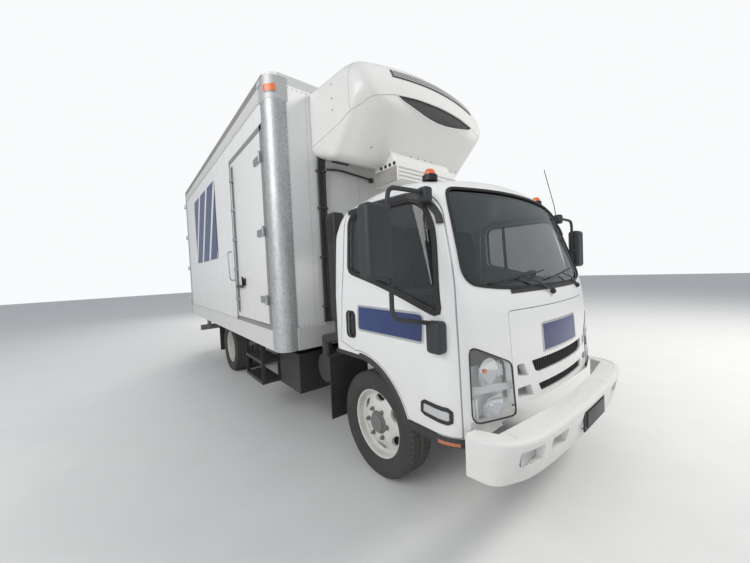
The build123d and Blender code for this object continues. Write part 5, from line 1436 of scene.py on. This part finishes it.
def wheel_disc(axle, line, y, hole_x):
    """Both rims of an axle, left and right: a closed line turned about it, with its hand holes cut."""
    disc = raw(f"{axle}_wheel_left_disc", lathe(line, (0, y, TYRE_R), (1, 0, 0), 96, closed=True))
    carve(disc, hand_holes(*hole_x, y))
    return disc, twin(disc, f"{axle}_wheel_right_disc")


FRONT_RIM = bend([(0.2617, 0.786), (0.2617, 0.917), (0.2617, 0.9185), (0.252, 0.9185), (0.246, 0.905),
                  (0.243, 0.87), (0.232, 0.855), (0.2, 0.868), (0.16, 0.892), (0.135, 0.903), (0.1, 0.903),
                  (0.086, 0.9), (0.086, 0.892), (0.13, 0.884), (0.19, 0.85), (0.225, 0.838), (0.225, 0.79)],
                 (0.002, 0.002, 0.002, 0.004, 0.005, 0.012, 0.012, 0.03, 0.03, 0.01, 0.01, 0.004, 0.004,
                  0.03, 0.02, 0.01, 0.01), closed=True, steps=4)
REAR_RIM = bend([(0.2617, 0.708), (0.2617, 1.041), (0.2617, 1.0425), (0.252, 1.0425), (0.246, 1.03),
                 (0.24, 0.96), (0.232, 0.87), (0.22, 0.84), (0.18, 0.835), (0.086, 0.84), (0.086, 0.83),
                 (0.18, 0.825), (0.225, 0.826), (0.23, 0.71)],
                (0.002, 0.002, 0.002, 0.004, 0.005, 0.02, 0.02, 0.01, 0.03, 0.004, 0.004, 0.02, 0.01, 0.01),
                closed=True, steps=4)
FRONT_HUB = [(0, 0.93), (0.05, 0.93), (0.066, 0.925), (0.072, 0.91), (0.083, 0.905), (0.085, 0.86),
             (0.0, 0.86)]
FRONT_DRUM = [(0.0, 0.79), (0.21, 0.79), (0.215, 0.8), (0.215, 0.82), (0.12, 0.84), (0.0, 0.85)]
REAR_HUB = [(0, 0.955), (0.06, 0.955), (0.078, 0.945), (0.083, 0.93), (0.084, 0.82), (0, 0.82)]
REAR_DRUM = [(0.0, 0.715), (0.21, 0.715), (0.215, 0.73), (0.215, 0.8), (0.12, 0.82), (0.0, 0.822)]

for axle, node, line, y, hole_x in (("front", "front_rim", FRONT_RIM, 0.0, (0.83, 0.92)),
                                    ("rear", "rear_rims", REAR_RIM, WHEELBASE, (0.815, 0.85))):
    for side, disc in zip(("left", "right"), wheel_disc(axle, line, y, hole_x)):
        dress(disc, f"{axle}_wheel_{side}", "white_paint", RIM_WHITE, replaces=(f"{node}_{side}",))
pair("front_hub", turned(FRONT_HUB, 0.0), "front_wheel", "grey_metal", DULL_METAL)
pair("front_drum", turned(FRONT_DRUM, 0.0, 48), "front_wheel", "black_metal", CHASSIS)
pair("front_nuts", wheel_bolts(0.902, 0.0), "front_wheel", "grey_metal", DULL_METAL)
rear_hubs = join(turned(REAR_HUB, WHEELBASE), turned(REAR_DRUM, WHEELBASE, 48))
pair("rear_hub", rear_hubs, "rear_wheel", "black_metal", CHASSIS)
pair("rear_nuts", wheel_bolts(0.84, WHEELBASE), "rear_wheel", "grey_metal", DULL_METAL)
pair("front_rubber", tyre(0.8325, 0.113, 0.0), "front_wheel", "tyre", TYRE, "front_tyre")
twins = join(tyre(0.9575, 0.113, WHEELBASE), tyre(0.6925, 0.105, WHEELBASE))
pair("rear_rubber", twins, "rear_wheel", "tyre", TYRE, "rear_tyres")


# Inside the cab: steering wheel and padded seats

COLUMN_WAY = np.array([0.0, 0.61566, 0.78801])
WHEEL_MIDDLE = np.array([0.5, -0.43, 1.4])
RIM_R = 0.204


def round_column(angle, radius):
    """A place on a circle round the steering column, for each of its angles."""
    across = np.array([1.0, 0, 0])
    up = np.cross(COLUMN_WAY, across)
    return radius * (np.cos(angle)[..., None] * across + np.sin(angle)[..., None] * up)


def spoke(angle):
    """A flat bar from the boss to the rim, dished below the rim by its distance from it squared."""
    share = np.linspace(0, 1, 10)
    run = round_column(np.full(10, angle), np.linspace(0.02, 0.2, 10)[:, None])
    return sweep(WHEEL_MIDDLE + run - COLUMN_WAY * 0.02 * (1 - share ** 2)[:, None], COLUMN_WAY,
                 rectangle(0.034, 0.014, 0.005))


rim_path = WHEEL_MIDDLE + round_column(np.arange(64) * 2 * pi / 64, RIM_R)
wheel_rim = sweep(rim_path, unit(rim_path - WHEEL_MIDDLE), circle(0.0145), True)
spokes = [spoke(pi / 2 + k * 2 * pi / 3) for k in (0, 1, -1)]
boss = lathe([(0, -0.06), (0.034, -0.06), (0.05, -0.02), (0.056, -0.004), (0.04, 0.008), (0, 0.012)],
             WHEEL_MIDDLE, COLUMN_WAY, 32)
part("wheel_rim_and_spokes", join(wheel_rim, boss, *spokes), "steering_wheel", "dash", DASH,
     replaces=("steering_wheel",))


def cushion(low, high, radius, crown):
    """A padded block: edges rounded, its top raised by half a wave each way and sewn in two channels."""
    low, high = np.asarray(low, float), np.asarray(high, float)
    start, way, quads = rays(low + radius, high - radius, (10, 10, 4), 5)
    points = start + way * radius
    across, along, up = np.clip((points - low) / (high - low), 0, 1).T
    puff = np.sin(pi * across) * np.sin(pi * along) * np.sin(pi * up * 0.5 + pi / 4) ** 2
    sewn = 1 - 0.35 * sum(np.exp(-((across - line) / 0.02) ** 2) for line in (0.2, 0.8))
    points[:, 2] += crown * puff * sewn * (up > 0.5)
    return shell(points, quads)


def leaned(s, y, z, tilt):
    """A cushion stood up on its rear edge and leaned back, at a place."""
    x, along, up = s[0].T
    rear, top = along * np.cos(tilt) - up * np.sin(tilt), along * np.sin(tilt) + up * np.cos(tilt)
    return shell(places(x, y + rear, z + top), s[1][:, ::-1])


SEATS = ((0.24, 0.76), (-0.3, 0.2), (-0.76, -0.34))
pads = [cushion((low, -0.26, 1.29), (high, 0.2, 1.42), 0.045, 0.018) for low, high in SEATS]
pads += [leaned(cushion((low, 0.0, 0.0), (high, 0.56, 0.11), 0.045, 0.02), 0.17, 1.43, radians(78))
         for low, high in SEATS]
seat_pads = part("seat_pads", join(*pads), "cab", "cloth", CLOTH, replaces=("seats",))
bases = [soft_box((low + 0.02, -0.24, 1.02), (high - 0.02, 0.18, 1.3), 0.02) for low, high in SEATS]
part("seat_bases", join(*bases), "cab", "dash", DASH)

# Finishes for the CAD nodes that stay
STAY = ((MESH, ("grille",)), (DASH, ("dashboard",)), (ENGINE, ("powertrain",)), (RAIL, ("box_rails",)),
        (CHASSIS, ("crossmembers", "frame_rails", "front_axle", "rear_axle", "fuel_tank", "knuckle_left",
                   "knuckle_right", "tie_rod")),
        (DULL_METAL, ("box_runners", "exhaust", "rear_bumper", "box_floor")),
        (BLACK, ("battery_box", "air_cleaner", "side_step", "mudflaps")),
        (SIDE_PANEL, ("box_left_wall", "box_right_wall")), (FRONT_PANEL, ("box_front_wall",)),
        (ROOF_PANEL, ("box_roof",)), (DOOR_PANEL, ("rear_door_left", "rear_door_right")),
        (ALUMINIUM, ("rear_door_frame",)), (GALVANISED, ("hinge_brackets",)), (BOX_LAMP, ("box_lamps",)))
for look, names in STAY:
    for name in names:
        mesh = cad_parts[name].data
        mesh.materials.clear()
        mesh.materials.append(look)


# Studio

# Each lamp's name, place, size in metres, power in watts and colour
LAMPS = (("key", (7.0, -8.0, 8.5), 3.0, 900.0, (1.0, 0.97, 0.92)),
         ("fill", (-9.0, -3.0, 6.0), 6.0, 420.0, (1.0, 0.99, 0.97)),
         ("back", (2.0, 9.0, 7.0), 5.0, 320.0, (1.0, 0.98, 0.95)))
TARGET = np.array((0.0, -0.5, 1.4))
FLOOR_HALF, FLOOR_POINTS = 40, 41


def studio_sky():
    """A pale sky that lights the truck, seen by the camera as near white."""
    world = bpy.data.worlds.new("studio")
    bpy.context.scene.world = world
    world.use_nodes = True
    tree = world.node_tree
    tree.nodes.clear()
    out, pick, path = [tree.nodes.new(kind) for kind in ("ShaderNodeOutputWorld", "ShaderNodeMixShader",
                                                         "ShaderNodeLightPath")]
    tree.links.new(path.outputs["Is Camera Ray"], pick.inputs[0])
    for slot, colour, strength in ((1, (0.86, 0.9, 0.96, 1), 0.55), (2, (0.95, 0.96, 0.97, 1), 1.0)):
        background = tree.nodes.new("ShaderNodeBackground")
        background.inputs[0].default_value, background.inputs[1].default_value = colour, strength
        tree.links.new(background.outputs[0], pick.inputs[slot])
    tree.links.new(pick.outputs[0], out.inputs[0])


def lamp(name, place, size, power, colour):
    """A square lamp aimed at the truck. The key lamp isn't seen in reflections."""
    data = bpy.data.lights.new(name, "AREA")
    data.size, data.energy, data.color = size, power, colour
    obj = linked(name, data)
    obj.visible_glossy = name != "key"
    aim = unit(TARGET - np.array(place))
    side = unit(np.cross(aim, (0, 0, 1)))
    obj.matrix_world = Matrix(np.column_stack([side, np.cross(side, aim), -aim]).tolist()).to_4x4()
    obj.location = place


def studio_floor():
    """A pale floor, outside the object."""
    span = np.linspace(-FLOOR_HALF, FLOOR_HALF, FLOOR_POINTS)
    x, y = np.meshgrid(span, span)
    mesh = bpy.data.meshes.new("floor")
    mesh.from_pydata(places(x, y, 0).reshape(-1, 3).tolist(), [], grid(FLOOR_POINTS, FLOOR_POINTS).tolist())
    look = Look("studio_floor", Roughness=0.8)
    look.vary(Base_Color=look.mix(look.noise(3.0, 4.0), rgb(0.72, 0.72, 0.71), rgb(0.78, 0.78, 0.77)))
    mesh.materials.append(look.material)
    linked("floor", mesh)


studio_sky()
for settings in LAMPS:
    lamp(*settings)
studio_floor()
bpy.context.scene.view_settings.view_transform = "Standard"
